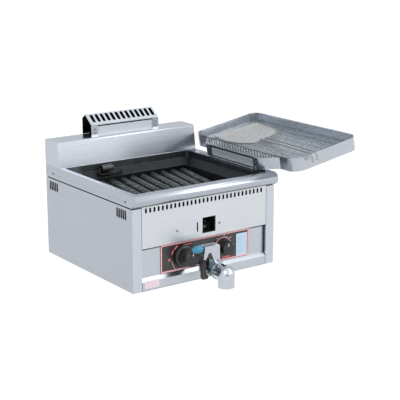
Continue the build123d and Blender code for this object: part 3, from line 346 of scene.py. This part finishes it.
def under_the_panel(steel):
    """The strip of the lower panel that the upper one overhangs, and its shadow just below."""
    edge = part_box("upper_front_panel")[0].z
    strip = steel.beyond((0, 0, 1), edge - OVERHANG_FOOT, edge - OVERHANG_TOP)
    return steel.both(strip, steel.beyond((0, 1, 0), RECESS_Y, RECESS_Y + 0.001))


def under_the_nose(steel):
    """The underside of the deck's rounded front, painted dark as its shadow."""
    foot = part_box("deck_top")[0].z
    below = steel.inverse(steel.beyond((0, 0, 1), foot + NOSE_FOOT, foot + NOSE_TOP))
    return steel.both(below, steel.inverse(steel.beyond((0, 1, 0), NOSE_Y, NOSE_Y + 0.001)))


def left_of_well(pot):
    """The left end of the pot's walls and shoulder, painted lighter where that sloped facet catches the
    light.
    """
    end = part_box("oil_pot")[0].x + LIT_END
    return pot.inverse(pot.beyond((1, 0, 0), end, end + LIT_BLUR))


# ---------------------------------------------------------------- materials
# painted light and shade: the stainless panels are one steel, and their tones are lit and shaded copies of
# it, lighter on the upper front panel, the hood and its plate, darker on the deck and the sides
STEEL = (0.50, 0.53, 0.585)
materials = {
    "steel_x": brushed_steel("steel_grain_x", STEEL, GRAIN_ALONG_X),
    "deck": brushed_steel(
        "deck_steel", (0.425, 0.455, 0.505), GRAIN_ALONG_X, 0.2, shade=under_the_nose, dark=0.12
    ),
    "front": brushed_steel("front_steel", (0.585, 0.61, 0.645), GRAIN_ALONG_X, 0.42),
    "low_front": brushed_steel(
        "lower_steel", (0.50, 0.53, 0.575), GRAIN_ALONG_X, 0.26, shade=under_the_panel, dark=0.09
    ),
    "steel_z": brushed_steel("steel_grain_z", STEEL, GRAIN_ALONG_Z),
    "hood_plate": brushed_steel("hood_plate_steel", (0.61, 0.645, 0.70), GRAIN_ALONG_X, 0.4, metallic=0.4),
    "dull_steel": brushed_steel("dull_steel", (0.11, 0.12, 0.13), GRAIN_ALONG_X, 0.42, smudge=0.4),
    "hood": brushed_steel(
        "hood_steel", (0.63, 0.67, 0.71), GRAIN_ALONG_X, 0.3, shade=hood_inside, dark=0.012
    ),
    "side": brushed_steel(
        "side_steel", (0.445, 0.475, 0.525), GRAIN_ALONG_Y, 0.3,
        shade=post_return, dark=0.12, bright=post_front,
    ),
    "tray": brushed_steel(
        "tray_steel", (0.46, 0.485, 0.53), GRAIN_ALONG_Y, 0.25, metallic=0.94, bright=far_walls, lift=1.55
    ),
    # dark sheet: soot on the flue and firebox, and painted shade on the deck rails
    "soot_and_shade": worn_metal("sooted_and_shaded_sheet", (0.03, 0.031, 0.033), 0.6, (0.015, 0.015, 0.016), 45),
    "dark_frame": worn_metal("dark_frame", (0.075, 0.085, 0.088), 0.4, (0.04, 0.045, 0.048), 60),
    "zinc": worn_metal("zinc_sheet", (0.42, 0.44, 0.46), 0.5, (0.30, 0.32, 0.34), 45),
    "pot": oil_darkened_steel("pot_steel", 1.0, left_of_well),
    "sheets": oil_darkened_steel("sheet_steel", 0.45),
    "tubes": heat_darkened_tubes(),
    "wire": worn_metal("bright_wire", (0.42, 0.46, 0.48), 0.28, (0.22, 0.25, 0.26), 160),
    "fence": worn_metal("fence_wire", (0.13, 0.16, 0.17), 0.3, (0.07, 0.09, 0.10), 160),
    "pale_wire": worn_metal("pale_wire", (0.44, 0.46, 0.48), 0.34, (0.28, 0.29, 0.30), 160),
    "strainer": worn_metal("strainer_wire", (0.56, 0.61, 0.62), 0.3, (0.36, 0.41, 0.42), 160),
    "mesh": worn_metal("woven_wire", (0.66, 0.665, 0.66), 0.4, (0.5, 0.505, 0.50), 120, metallic=0.75),
    "chrome": worn_metal("chrome", (0.52, 0.555, 0.60), 0.11, (0.47, 0.50, 0.545), 20, bump=0.00001),
    "screw": worn_metal("screw_steel", (0.30, 0.31, 0.34), 0.3, (0.2, 0.21, 0.23), 200),
    "brass": worn_metal("brass", (0.62, 0.45, 0.18), 0.3, (0.36, 0.25, 0.11), 60),
    "plated": worn_metal("nickel_plate", (0.16, 0.22, 0.22), 0.26, (0.06, 0.09, 0.095), 90),
    "copper": worn_metal("copper", (0.05, 0.042, 0.038), 0.45, (0.02, 0.019, 0.018), 120),
    "gas_paint": worn_metal(
        "gas_pipe_paint", (0.09, 0.095, 0.10), 0.45, (0.05, 0.05, 0.055), 80, metallic=0.0
    ),
    "black_enamel": moulded("black_enamel", (0.018, 0.016, 0.019), 0.3, 2600, 0.00001, coat=0.2),
    "knob": moulded("knob_plastic", (0.006, 0.007, 0.008), 0.3),
    "sleeve": moulded("lever_sleeve_rubber", (0.022, 0.022, 0.026), 0.5, 900, 0.00008),
    "rubber": moulded("rubber", (0.02, 0.02, 0.02), 0.7, 700, 0.0001),
    "white_print": moulded("white_print", (0.80, 0.80, 0.80), 0.4),
    "red_print": moulded("red_print", (0.62, 0.12, 0.13), 0.4),
    "pink_print": moulded("pink_print", (0.72, 0.34, 0.37), 0.4),
    "sticker": moulded("sticker_film", (0.54, 0.53, 0.60), 0.4),
    "label_film": moulded("label_film", (0.40, 0.50, 0.60), 0.3),
    "label_blue": moulded("label_blue", (0.20, 0.40, 0.62), 0.3),
    "blue": moulded("blue_plastic", (0.003, 0.16, 0.28), 0.25, coat=0.3),
}

FINISHES = {
    "steel_x": ["backsplash", "tray_bracket"],
    "deck": ["deck_top"],
    "front": ["upper_front_panel"],
    "low_front": ["lower_front_panel"],
    "hood_plate": ["hood_front_plate"],
    "dull_steel": ["bulb_guard"],
    "hood": ["flue_hood"],
    "side": ["side_panel_left", "side_panel_right"],
    "tray": ["tray_pan"],
    "steel_z": ["lock_plate", "lever_arm"],
    "zinc": ["base_plate", "back_panel", "drain_pipe"],
    # the deck rails are painted black as the shade behind the vents and the gap under the deck
    "soot_and_shade": ["deck_rails", "flue_duct", "firebox"],
    "pot": ["oil_pot"],
    "sheets": ["tube_sheets"],
    "tubes": ["fire_tubes", "main_burner"],
    "wire": ["drain_rack"],
    "pale_wire": ["skimmer_frame", "skimmer_handle"],
    "chrome": ["drain_elbow", "valve_ball"],
    "screw": ["stem_nut"],
    "brass": ["gas_inlet", "gas_valve", "gas_valve_plunger", "gas_valve_spindle", "thermostat_spindle"],
    "plated": ["valve_body", "valve_stem", "pilot_burner"],
    "copper": ["thermocouple", "thermostat_bulb", "capillary_tube"],
    "gas_paint": ["gas_supply_pipe", "burner_pipe", "thermostat_body"],
    "black_enamel": ["control_plate"],
    "knob": ["gas_knob", "thermostat_dial"],
    "sleeve": ["lever_sleeve"],
    "rubber": ["feet", "tray_pads"],
    "white_print": ["gas_knob_pointer", "dial_pointer"],
    "label_film": ["label_plate"],
    "blue": ["lock_button"],
}
BROKEN_EDGES = {
    "deck_top": 0.5, "backsplash": 0.4, "lock_plate": 0.5, "drain_elbow": 0.6, "gas_knob": 0.5,
    "thermostat_dial": 0.4, "lever_sleeve": 0.6, "valve_body": 0.5, "stem_nut": 0.4, "lower_front_panel": 0.4,
    "label_plate": 0.2, "feet": 0.8, "lever_arm": 0.4, "tray_bracket": 0.4, "gas_inlet": 0.4,
}


def finish_node(name, material):
    """A CAD node with its material, and its sharp edges just broken where they can be seen."""
    node = nodes[name]
    node.data.materials.clear()
    node.data.materials.append(material)
    if name in BROKEN_EDGES:
        weld = node.modifiers.new("weld", "WELD")
        weld.merge_threshold = 0.00001
        edge = node.modifiers.new("edge", "BEVEL")
        edge.width = BROKEN_EDGES[name] * MM
        edge.segments = 2
        edge.limit_method = "ANGLE"
        edge.angle_limit = math.radians(50)
        edge.harden_normals = True


for key, names in FINISHES.items():
    for name in names:
        finish_node(name, materials[key])


# ---------------------------------------------------------------- shapes for the detail pieces
def settle(piece, body, material, slot, *replaced):
    """Link a finished piece, give it its material and body, and hide the nodes it stands for; its slot is not
    used.
    """
    bpy.context.scene.collection.objects.link(piece)
    piece.data.materials.append(materials[material])
    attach(piece, body)
    if replaced:
        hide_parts(*replaced)


def wires(name, paths, radius, sides=2):
    """Round wires along the paths, one spline each."""
    curve = bpy.data.curves.new(name, "CURVE")
    curve.dimensions = "3D"
    curve.bevel_depth = radius
    curve.bevel_resolution = sides
    curve.use_fill_caps = True
    for path in paths:
        spline = curve.splines.new("POLY")
        spline.points.add(len(path) - 1)
        for point, place in zip(spline.points, path):
            point.co = (*place, 1)
        spline.use_smooth = True
    return bpy.data.objects.new(name, curve)


def mesh_piece(name, build):
    """A mesh object whose faces are made by build(bm)."""
    bm = bmesh.new()
    build(bm)
    bmesh.ops.recalc_face_normals(bm, faces=bm.faces)
    mesh = bpy.data.meshes.new(name)
    bm.to_mesh(mesh)
    bm.free()
    return bpy.data.objects.new(name, mesh)


def ribbon(bm, inner, outer, front, back, closed=False):
    """A flat strip between two lines of (x, z) points, standing between two Y planes."""
    rows = [
        [bm.verts.new((x, y, z)) for x, z in line]
        for y in (front, back)
        for line in (inner, outer)
    ]
    near_in, near_out, far_in, far_out = rows
    count = len(inner)
    for i in range(count if closed else count - 1):
        j = (i + 1) % count
        bm.faces.new((near_in[i], near_in[j], near_out[j], near_out[i]))
        bm.faces.new((far_in[i], far_out[i], far_out[j], far_in[j]))
        bm.faces.new((near_out[i], near_out[j], far_out[j], far_out[i]))
        bm.faces.new((near_in[i], far_in[i], far_in[j], near_in[j]))
    if not closed:
        for i in (0, count - 1):
            bm.faces.new((near_in[i], near_out[i], far_out[i], far_in[i]))


def arc(centre, radius, start, end, steps=24):
    """Points of an arc, in degrees from +X towards +Z."""
    turns = [math.radians(start + (end - start) * i / steps) for i in range(steps + 1)]
    return [(centre[0] + radius * math.cos(a), centre[1] + radius * math.sin(a)) for a in turns]


def islands(name):
    """The box of each separate solid in a node, as (low, high)."""
    bm = bmesh.new()
    bm.from_mesh(nodes[name].data)
    bmesh.ops.remove_doubles(bm, verts=bm.verts, dist=0.00001)
    bm.verts.ensure_lookup_table()
    seen, boxes = set(), []
    for start in bm.verts:
        if start in seen:
            continue
        stack, group = [start], []
        seen.add(start)
        while stack:
            vert = stack.pop()
            group.append(vert.co.copy())
            for edge in vert.link_edges:
                other = edge.other_vert(vert)
                if other not in seen:
                    seen.add(other)
                    stack.append(other)
        low = Vector(min(p[i] for p in group) for i in range(3))
        high = Vector(max(p[i] for p in group) for i in range(3))
        boxes.append((low, high))
    bm.free()
    return boxes


# ---------------------------------------------------------------- screws
HEAD_HEIGHT, SHORTEST_SHANK, SHANK_GAP = 0.0018, 0.0005, 0.0001
HEAD_SIDES = 28
SLOT_REACH, SLOT_WAIST, SLOT_SPREAD = 0.32, 0.13, 0.45


def screw_head(bm, seat, out, radius, height, length):
    """A domed head with a cross recess and a short shank, standing on its seat."""
    turn = Vector(out).to_track_quat("Z", "Y")
    angles = [2 * math.pi * i / HEAD_SIDES for i in range(HEAD_SIDES)]

    def ring(reaches, level):
        spots = (Vector((r * math.cos(a), r * math.sin(a), level)) for a, r in zip(angles, reaches))
        return [bm.verts.new(seat + turn @ spot) for spot in spots]

    def star(level):
        """A cross of four slots that narrow to a waist between them."""
        slots = [SLOT_REACH if abs(math.sin(2 * a)) < SLOT_SPREAD else SLOT_WAIST for a in angles]
        return ring([radius * reach for reach in slots], level)

    profile = (
        (0.5, -length), (0.5, 0), (1, 0), (1, height * 0.45), (0.92, height * 0.75),
        (0.72, height * 0.93), (0.5, height), (0.34, height * 0.98),
    )
    rings = [ring([radius * share] * HEAD_SIDES, level) for share, level in profile]
    rings += [star(height * 0.93), star(height * 0.43)]
    for low, high in zip(rings, rings[1:]):
        for i in range(HEAD_SIDES):
            j = (i + 1) % HEAD_SIDES
            bm.faces.new((low[i], low[j], high[j], high[i]))
    bm.faces.new(rings[0][::-1])
    bm.faces.new(rings[-1])


def screws(node, outward):
    """Detailed screws in place of a node's plain ones, which point where outward says."""

    def build(bm):
        for low, high in islands(node):
            middle = (low + high) / 2
            out = outward(middle)
            radius = (high.z - low.z) / 2
            slant = 2 * abs(out.x * out.y)
            reach = (high - low).dot(Vector([abs(c) for c in out])) / 2 - radius * slant
            head = min(HEAD_HEIGHT, reach)
            shank = max(SHORTEST_SHANK, 2 * reach - head - SHANK_GAP)
            screw_head(bm, middle + out * (reach - head), out, radius, head, shank)

    settle(mesh_piece(node + "_detail", build), "cabinet", "screw", "screw_steel", node)


def sideways(middle):
    return Vector((math.copysign(1, middle.x), 0, 0))


def forwards(middle):
    return Vector((0, -1, 0))


def to_the_left_front(middle):
    return Vector((-math.sin(math.radians(30)), -math.cos(math.radians(30)), 0))


screws("deck_screws", sideways)
for node in ("hood_screws", "panel_screws", "lock_plate_screw"):
    screws(node, forwards)
screws("elbow_screw", to_the_left_front)

# ---------------------------------------------------------------- control plate's print
plate_low, plate_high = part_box("control_plate")
PRINT = 0.00012
print_front, print_back = plate_low.y - PRINT, plate_low.y + PRINT / 2

# millimetres and degrees
BORDER_INSET, BORDER, HALF_NOTCH = 0.6, 3.4, 16
DIAL_RING, DIAL_TICKS, FIRST_TICK, TICK_STEP = 25.2, 15, -50, 19
HEAT_BAR_UP, HEAT_BAR_LENGTH = 25.5, 26
DIAL_FIRST, DIAL_STEP = 215, 43


def centre_of(node):
    """The middle of a node's box, seen from the front."""
    low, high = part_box(node)
    return ((low.x + high.x) / 2, (low.z + high.z) / 2)


gas_centre, dial_centre = centre_of("gas_knob"), centre_of("thermostat_dial")


def beside(centre, x, z):
    """A point that stands off a centre, in millimetres."""
    return (centre[0] + x * MM, centre[1] + z * MM)


def bar(bm, x, z, front, back):
    """A printed rectangle between two (low, high) pairs."""
    ribbon(bm, [(x[0], z[0]), (x[0], z[1])], [(x[1], z[0]), (x[1], z[1])], front, back)


def plate_bar(bm, corner, length, height):
    """A printed bar on the control plate, in millimetres from its lower left corner."""
    x, z = corner
    bar(bm, (x, x + length * MM), (z, z + height * MM), print_front, print_back)


def plate_band(bm, centre, radius, width, start, end):
    """A printed arc on the control plate, in millimetres and degrees."""
    inner = arc(centre, (radius - width / 2) * MM, start, end)
    outer = arc(centre, (radius + width / 2) * MM, start, end)
    ribbon(bm, inner, outer, print_front, print_back)


def border(bm):
    """The plate's printed border, broken at the notch in its lower edge."""
    left, right = plate_low.x + BORDER_INSET * MM, plate_high.x - BORDER_INSET * MM
    foot, top = plate_low.z + BORDER_INSET * MM, plate_high.z - BORDER_INSET * MM
    notch, width = HALF_NOTCH * MM, BORDER * MM
    sides = (foot + width, top - width)
    strips = (
        ((left, -notch), (foot, foot + width)),
        ((notch, right), (foot, foot + width)),
        ((left, right), (top - width, top)),
        ((left, left + width), sides),
        ((right - width, right), sides),
    )
    for x, z in strips:
        bar(bm, x, z, print_front, print_back)


def pink_print(bm):
    """The border, an arc below the gas knob, and the dial's ring with its ticks."""
    border(bm)
    plate_band(bm, beside(gas_centre, 1, -6.5), 34, 1.2, 186, 234)
    plate_band(bm, dial_centre, DIAL_RING, 1.7, -60, 225)
    for i in range(DIAL_TICKS):
        angle = FIRST_TICK + TICK_STEP * i
        plate_band(bm, dial_centre, DIAL_RING + 2.4, 2.4, angle - 1, angle + 1)


def red_print(bm):
    """Heat marks: two arcs and a bar above the gas knob, a spot at its left, a bar under the dial."""
    plate_band(bm, gas_centre, 33.5, 3.2, 168, 149)
    plate_band(bm, gas_centre, 31.5, 3.8, 143, 119)
    plate_bar(bm, beside(gas_centre, 1, HEAT_BAR_UP), HEAT_BAR_LENGTH, 2.4)
    spot = beside(gas_centre, -41, -5)
    halves = [arc(spot, 3.4 * MM, 90, end, 12) for end in (270, -90)]
    ribbon(bm, *halves, print_front, print_back)
    plate_bar(bm, (dial_centre[0] - 4 * MM, plate_low.z + 6.5 * MM), HEAT_BAR_LENGTH, 3)


settle(mesh_piece("plate_print_pink", pink_print), "cabinet", "pink_print", "pointer_white")
settle(mesh_piece("plate_print_red", red_print), "cabinet", "red_print", "pointer_white")


def dial_number(text, angle):
    """A generic temperature printed beside the dial."""
    words = bpy.data.curves.new("dial_number_" + text, "FONT")
    words.body = text
    words.size = 3.6 * MM
    words.extrude = PRINT / 2
    words.align_x, words.align_y = "CENTER", "CENTER"
    piece = bpy.data.objects.new("dial_number_" + text, words)
    x, z = arc(dial_centre, 31 * MM, angle, angle, 1)[0]
    piece.location = (x, plate_low.y - PRINT / 2, z)
    piece.rotation_euler = (math.pi / 2, 0, 0)
    settle(piece, "cabinet", "white_print", "pointer_white")


for step, text in enumerate(("0", "100", "120", "140", "160", "180", "200")):
    dial_number(text, DIAL_FIRST - DIAL_STEP * step)

# ---------------------------------------------------------------- the label and the lip's film
LABEL_INSET, LABEL_LINE, LABEL_BARS, LABEL_BAR_PITCH = (7, 9), 1.2, 9, 4
FILM_SIZE, FILM_BARS, FILM_BAR_PITCH = (42, 20), 4, 4.2


def corners(low, high):
    """A rectangle's corners, anticlockwise from its lowest left one."""
    return [(low[0], low[1]), (high[0], low[1]), (high[0], high[1]), (low[0], high[1])]


def label_print(bm):
    """A blue border and plain bars on the label: no words."""
    low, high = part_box("label_plate")
    front, back = low.y - PRINT, low.y + PRINT / 2
    frame = [
        corners(beside((low.x, low.z), x, z), beside((high.x, high.z), -x, -z))
        for x, z in (LABEL_INSET, (LABEL_INSET[0] + LABEL_LINE, LABEL_INSET[1] + LABEL_LINE))
    ]
    ribbon(bm, frame[1], frame[0], front, back, closed=True)
    for i in range(LABEL_BARS):
        z = low.z + (14 + LABEL_BAR_PITCH * i) * MM
        bar(bm, (low.x + 11 * MM, high.x - (11 + 3 * (i % 3)) * MM), (z, z + 1.1 * MM), front, back)


settle(mesh_piece("label_print", label_print), "cabinet", "label_blue", "label")


def ledge_sticker(bm):
    """A plain film at the left of the lip."""
    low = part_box("lower_front_panel")[0]
    left, foot = low.x + 7 * MM, low.z + 4 * MM
    width, height = FILM_SIZE[0] * MM, FILM_SIZE[1] * MM
    bar(bm, (left, left + width), (foot, foot + height), low.y - PRINT, low.y + PRINT / 2)


def sticker_bars(bm):
    """The bars on the film, of two lengths."""
    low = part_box("lower_front_panel")[0]
    left, foot = low.x + 9 * MM, low.z + 6.5 * MM
    for i in range(FILM_BARS):
        z = foot + FILM_BAR_PITCH * i * MM
        bar(bm, (left, left + (36 - 5 * (i % 2)) * MM), (z, z + 1.3 * MM), low.y - 2 * PRINT, low.y - PRINT)


settle(mesh_piece("ledge_sticker", ledge_sticker), "cabinet", "sticker", "label")
settle(mesh_piece("sticker_bars", sticker_bars), "cabinet", "pink_print", "label")

# the lighting window's edges are folded back into the cabinet
WINDOW_CENTRE, WINDOW_HALF, FOLD_DEPTH, FOLD_SHEET = (8.8, 149.6), 20.4, 9.0, 1.0
panel_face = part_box("upper_front_panel")[0].y


def window_fold(bm):
    """Four narrow walls behind the window's edges, mitred at the corners."""
    half, thin = WINDOW_HALF * MM, FOLD_SHEET * MM
    x, z = WINDOW_CENTRE[0] * MM, WINDOW_CENTRE[1] * MM
    inner, outer = [corners((x - size, z - size), (x + size, z + size)) for size in (half - thin, half)]
    ribbon(bm, inner, outer, panel_face + 0.3 * MM, panel_face + FOLD_DEPTH * MM, closed=True)
    bmesh.ops.bevel(bm, geom=bm.edges[:], offset=0.25 * MM, segments=1, affect="EDGES")


settle(mesh_piece("window_fold", window_fold), "cabinet", "dull_steel", "stainless")

# ---------------------------------------------------------------- the tray's rim
tray_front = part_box("tray_pan")[0].y
TRAY_SIZE, TRAY_HEIGHT, TRAY_CORNER = (224.0, 445.5), 36.0, 33.0
TRAY_MIDDLE = TRAY_SIZE[1] / 2
MOUTH_REACH, MOUTH_HEIGHT = 35.5, 31.0
MOUTH_WALL_HALF, MOUTH_LIP_HALF, MOUTH_HALF = 160.0, 114.0, 96.0


def on_tray(x, y, height):
    """A point given across, along and above the tray's floor, in millimetres."""
    across = TRAY_ACROSS * (tray_left + x * MM)
    return across + Vector((0, tray_front + y * MM, 0)) + TRAY_UP * (tray_floor + height * MM)


def tray_wall(inset):
    """The pan's outline from the mouth's front corner round to its rear corner."""
    width, length = TRAY_SIZE
    centres = corners((TRAY_CORNER, TRAY_CORNER), (width - TRAY_CORNER, length - TRAY_CORNER))
    path = [(inset, TRAY_MIDDLE - MOUTH_WALL_HALF)]
    for centre, turn in zip(centres, (180, 270, 0, 90)):
        path += arc(centre, TRAY_CORNER - inset, turn, turn + 90, 10)
    return path + [(inset, TRAY_MIDDLE + MOUTH_WALL_HALF)]


BEAD = 1.3
bead_paths = [[on_tray(x, y, TRAY_HEIGHT - BEAD) for x, y in tray_wall(BEAD)]]
for side in (-1, 1):
    bead_paths.append([
        on_tray(BEAD, TRAY_MIDDLE + side * (MOUTH_WALL_HALF - 1), MOUTH_HEIGHT - BEAD),
        on_tray(BEAD - MOUTH_REACH, TRAY_MIDDLE + side * (MOUTH_LIP_HALF - 1), MOUTH_HEIGHT - BEAD),
        on_tray(BEAD - MOUTH_REACH, TRAY_MIDDLE + side * (MOUTH_HALF + 1), MOUTH_HEIGHT - BEAD),
    ])
settle(wires("tray_rim_bead", bead_paths, BEAD * MM), "tray", "tray", "stainless")


# ---------------------------------------------------------------- woven wire
END_GAP = 0.2


def weave(lines_a, lines_b, pitch, radius, place):
    """Two families of wires that pass over and under each other at their crossings.

    lines_a gives the span of b at each a, and lines_b the span of a at each b, both in pitches.
    """
    paths = []
    for family, lines in ((0, lines_a), (1, lines_b)):
        for i, (low, high) in lines.items():
            crossings = range(math.ceil(low + END_GAP), math.floor(high - END_GAP) + 1)
            path = []
            for j in (low, *crossings, high):
                lift_by = 0
                if j in crossings:
                    lift_by = radius if (i + j + family) % 2 else -radius
                a, b = (j, i) if family else (i, j)
                path.append(place(a * pitch, b * pitch, lift_by))
            paths.append(path)
    return paths


def convex_span(outline, axis, value):
    """Where the line at this value of one axis crosses a convex outline, as (low, high)."""
    found = []
    for p, q in zip(outline, outline[1:] + outline[:1]):
        if (p[axis] - value) * (q[axis] - value) <= 0 and p[axis] != q[axis]:
            t = (value - p[axis]) / (q[axis] - p[axis])
            found.append(p[1 - axis] + (q[1 - axis] - p[1 - axis]) * t)
    return (min(found), max(found)) if len(found) > 1 else None


def turns_right(a, b, c):
    """Whether the way from a by b to c is straight or turns right."""
    return (b[0] - a[0]) * (c[1] - a[1]) <= (b[1] - a[1]) * (c[0] - a[0])


def hull_of(points):
    """The convex outline of 2D points, anticlockwise."""
    points = sorted(set(points))
    halves = []
    for run in (points, points[::-1]):
        half = []
        for p in run:
            while len(half) > 1 and turns_right(half[-2], half[-1], p):
                half.pop()
            half.append(p)
        halves.append(half[:-1])
    return halves[0] + halves[1]


net_points = [vert.co for vert in nodes["skimmer_mesh"].data.vertices]
net_level = sum(p.dot(TRAY_UP) for p in net_points) / len(net_points)
net_outline = hull_of([(round(p.dot(TRAY_ACROSS), 5), round(p.y, 5)) for p in net_points])
NET_PITCH, NET_WIRE = 3.4 * MM, 0.42 * MM


def lines_in(outline, axis, pitch):
    """For each whole pitch along an axis, the span across the outline, in pitches."""
    values = [p[axis] for p in outline]
    lines = {}
    for i in range(math.ceil(min(values) / pitch), math.floor(max(values) / pitch) + 1):
        span = convex_span(outline, axis, i * pitch)
        if span and span[1] - span[0] > pitch:
            lines[i] = (span[0] / pitch, span[1] / pitch)
    return lines


def on_net(across, along, lift_by):
    """A point of the net, a little above or below its middle."""
    return TRAY_ACROSS * across + Vector((0, along, 0)) + TRAY_UP * (net_level + lift_by)


net_lines = [lines_in(net_outline, axis, NET_PITCH) for axis in (0, 1)]
net_wires = weave(*net_lines, NET_PITCH, NET_WIRE, on_net)
settle(wires("skimmer_net", net_wires, NET_WIRE, sides=1), "skimmer", "mesh", "mesh_steel", "skimmer_mesh")

# the strainer stands in the mouth: a frame painted dark as the shade along the mouth's edge, with upright and
# level wires
FRAME_BAR, FRAME_DEPTH, FRAME_FOOT, SILL = 4.6, 2.0, 1.6, 1.5
STRAINER_PITCH, STRAINER_WIRE, WIRES_FOOT = 3.2, 0.45, 4


def strainer_frame(bm):
    """A channel round the mouth's opening, mitred into one ring, with rounded edges."""
    near, far = TRAY_MIDDLE - MOUTH_HALF, TRAY_MIDDLE + MOUTH_HALF
    outer = corners((near, FRAME_FOOT), (far, MOUTH_HEIGHT))
    inner = corners((near + FRAME_BAR, FRAME_FOOT + SILL), (far - FRAME_BAR, MOUTH_HEIGHT - FRAME_BAR))
    rows = [
        [bm.verts.new(on_tray(x, y, h)) for y, h in ring]
        for x in (-MOUTH_REACH, -MOUTH_REACH + FRAME_DEPTH)
        for ring in (outer, inner)
    ]
    out_near, in_near, out_far, in_far = rows
    for i in range(4):
        j = (i + 1) % 4
        bm.faces.new((out_near[i], out_near[j], in_near[j], in_near[i]))
        bm.faces.new((out_far[i], in_far[i], in_far[j], out_far[j]))
        bm.faces.new((out_near[i], out_far[i], out_far[j], out_near[j]))
        bm.faces.new((in_near[i], in_near[j], in_far[j], in_far[i]))
    bmesh.ops.bevel(bm, geom=bm.edges[:], offset=0.35 * MM, segments=2, affect="EDGES")


settle(mesh_piece("strainer_frame", strainer_frame), "tray", "dark_frame", "mesh_steel", "mouth_strainer")

# both families of wires run a little into the frame, by parts of a pitch
strainer_across = int((MOUTH_HALF * 2 - FRAME_BAR * 2) // STRAINER_PITCH)
strainer_up = int((MOUTH_HEIGHT - FRAME_BAR - 3) // STRAINER_PITCH)
uprights = {i: (-0.3, strainer_up + 0.5) for i in range(strainer_across + 1)}
levels = {i: (-0.5, strainer_across + 0.5) for i in range(strainer_up + 1)}


def on_strainer(along, up, lift_by):
    """A point of the strainer's net, in the middle of its frame."""
    start = TRAY_MIDDLE - strainer_across * STRAINER_PITCH / 2
    return on_tray(-MOUTH_REACH + FRAME_DEPTH / 2 - lift_by, start + along, WIRES_FOOT + up)


strainer_wires = weave(uprights, levels, STRAINER_PITCH, STRAINER_WIRE, on_strainer)
settle(wires("strainer_wires", strainer_wires, STRAINER_WIRE * MM, sides=1), "tray", "strainer", "mesh_steel")

# the rack's thin wires are bent up along its low side, into a rail
RACK_PITCH, RACK_MARGIN, THIN_WIRE, THIN_LEVEL = 12.0, 6.0, 1.0, 11.5
FENCE_X, FENCE_TOP, RAIL_END, CORNER_GAP = 5.4, 30.0, 2.0, 4.0
BEND = ((12, 0), (7.5, 0), (6.2, 0.6), (5.6, 2))
wire_count = int((TRAY_SIZE[1] - 2 * RACK_MARGIN - 8) // RACK_PITCH)
wire_ys = [TRAY_MIDDLE + (i - (wire_count - 1) / 2) * RACK_PITCH for i in range(wire_count)]
clear = TRAY_CORNER + CORNER_GAP
fence_ys = [y for y in wire_ys if clear < y < TRAY_SIZE[1] - clear]
fence = [
    [on_tray(x, y, THIN_LEVEL + rise) for x, rise in BEND] + [on_tray(FENCE_X, y, FENCE_TOP)]
    for y in fence_ys
]
fence.append([on_tray(FENCE_X, y, FENCE_TOP) for y in (fence_ys[0] - RAIL_END, fence_ys[-1] + RAIL_END)])
settle(wires("rack_fence", fence, THIN_WIRE * MM), "drain_rack", "fence", "wire_steel")


# ---------------------------------------------------------------- floor, light and camera
SURROUND_FRONT = (0.25, (1.0, 1.0, 1.0, 1))
SURROUND_BACK = (0.8, (0.60, 0.62, 0.65, 1))
SURROUND_STRENGTH = 1.35
FLOOR_GLOW = 0.97
FLOOR_TONE = (0.08, 0.08, 0.08)


def area_light(name, place, target, size, watts):
    """A soft rectangular light that faces a point."""
    light = bpy.data.lights.new(name, "AREA")
    light.shape = "RECTANGLE"
    light.size, light.size_y = size
    light.energy = watts
    lamp = bpy.data.objects.new(name, light)
    lamp.location = place
    lamp.rotation_euler = (Vector(target) - Vector(place)).to_track_quat("-Z", "Y").to_euler()
    bpy.context.scene.collection.objects.link(lamp)


def studio():
    """A pale floor that runs far back, a white surround that is dimmer behind, and soft lights."""
    bpy.ops.mesh.primitive_plane_add(size=80)
    floor = bpy.context.object
    floor.name = "floor"
    paint = Nodes("floor_paint", 0.0, 0.9, FLOOR_TONE, Emission_Strength=FLOOR_GLOW)
    paint.shader.inputs["Emission Color"].default_value = (1, 1, 1, 1)
    floor.data.materials.append(paint.material)
    world = bpy.data.worlds.new("studio")
    world.use_nodes = True
    tree = world.node_tree
    direction = tree.nodes.new("ShaderNodeTexCoord")
    split = tree.nodes.new("ShaderNodeSeparateXYZ")
    ramp = tree.nodes.new("ShaderNodeValToRGB")
    turn = tree.nodes.new("ShaderNodeMapRange")
    turn.inputs["From Min"].default_value = -1
    tree.links.new(direction.outputs["Generated"], split.inputs[0])
    tree.links.new(split.outputs["Y"], turn.inputs["Value"])
    tree.links.new(turn.outputs["Result"], ramp.inputs["Fac"])
    front, back = ramp.color_ramp.elements
    front.position, front.color = SURROUND_FRONT
    back.position, back.color = SURROUND_BACK
    tree.links.new(ramp.outputs["Color"], tree.nodes["Background"].inputs["Color"])
    tree.nodes["Background"].inputs["Strength"].default_value = SURROUND_STRENGTH
    bpy.context.scene.world = world
    area_light("key", (-1.9, -1.5, 2.2), (0, 0, 0.2), (1.4, 1.4), 16)
    area_light("right_fill", (1.6, -2.2, 1.3), (0.1, -0.2, 0.2), (1.6, 1.2), 14)
    area_light("overhead", (1.3, -0.95, 2.0), (0.0, -0.2, 0.1), (1.3, 0.7), 4.5)


EYE = (-1.6146, -2.4274, 0.9301)
LOOK_DOWN, LOOK_RIGHT = math.radians(14.646), math.radians(35.794)
SENSOR, FOCAL_LENGTH = 36, 101.62


def camera():
    """The camera stands to the front left, looking slightly down."""
    lens = bpy.data.cameras.new("camera")
    lens.sensor_width = SENSOR
    lens.lens = FOCAL_LENGTH
    lens.clip_end = 100
    eye = bpy.data.objects.new("camera", lens)
    eye.location = EYE
    eye.rotation_euler = (math.pi / 2 - LOOK_DOWN, 0, -LOOK_RIGHT)
    bpy.context.scene.collection.objects.link(eye)
    bpy.context.scene.camera = eye


studio()
camera()
bpy.context.scene.view_settings.view_transform = "Standard"
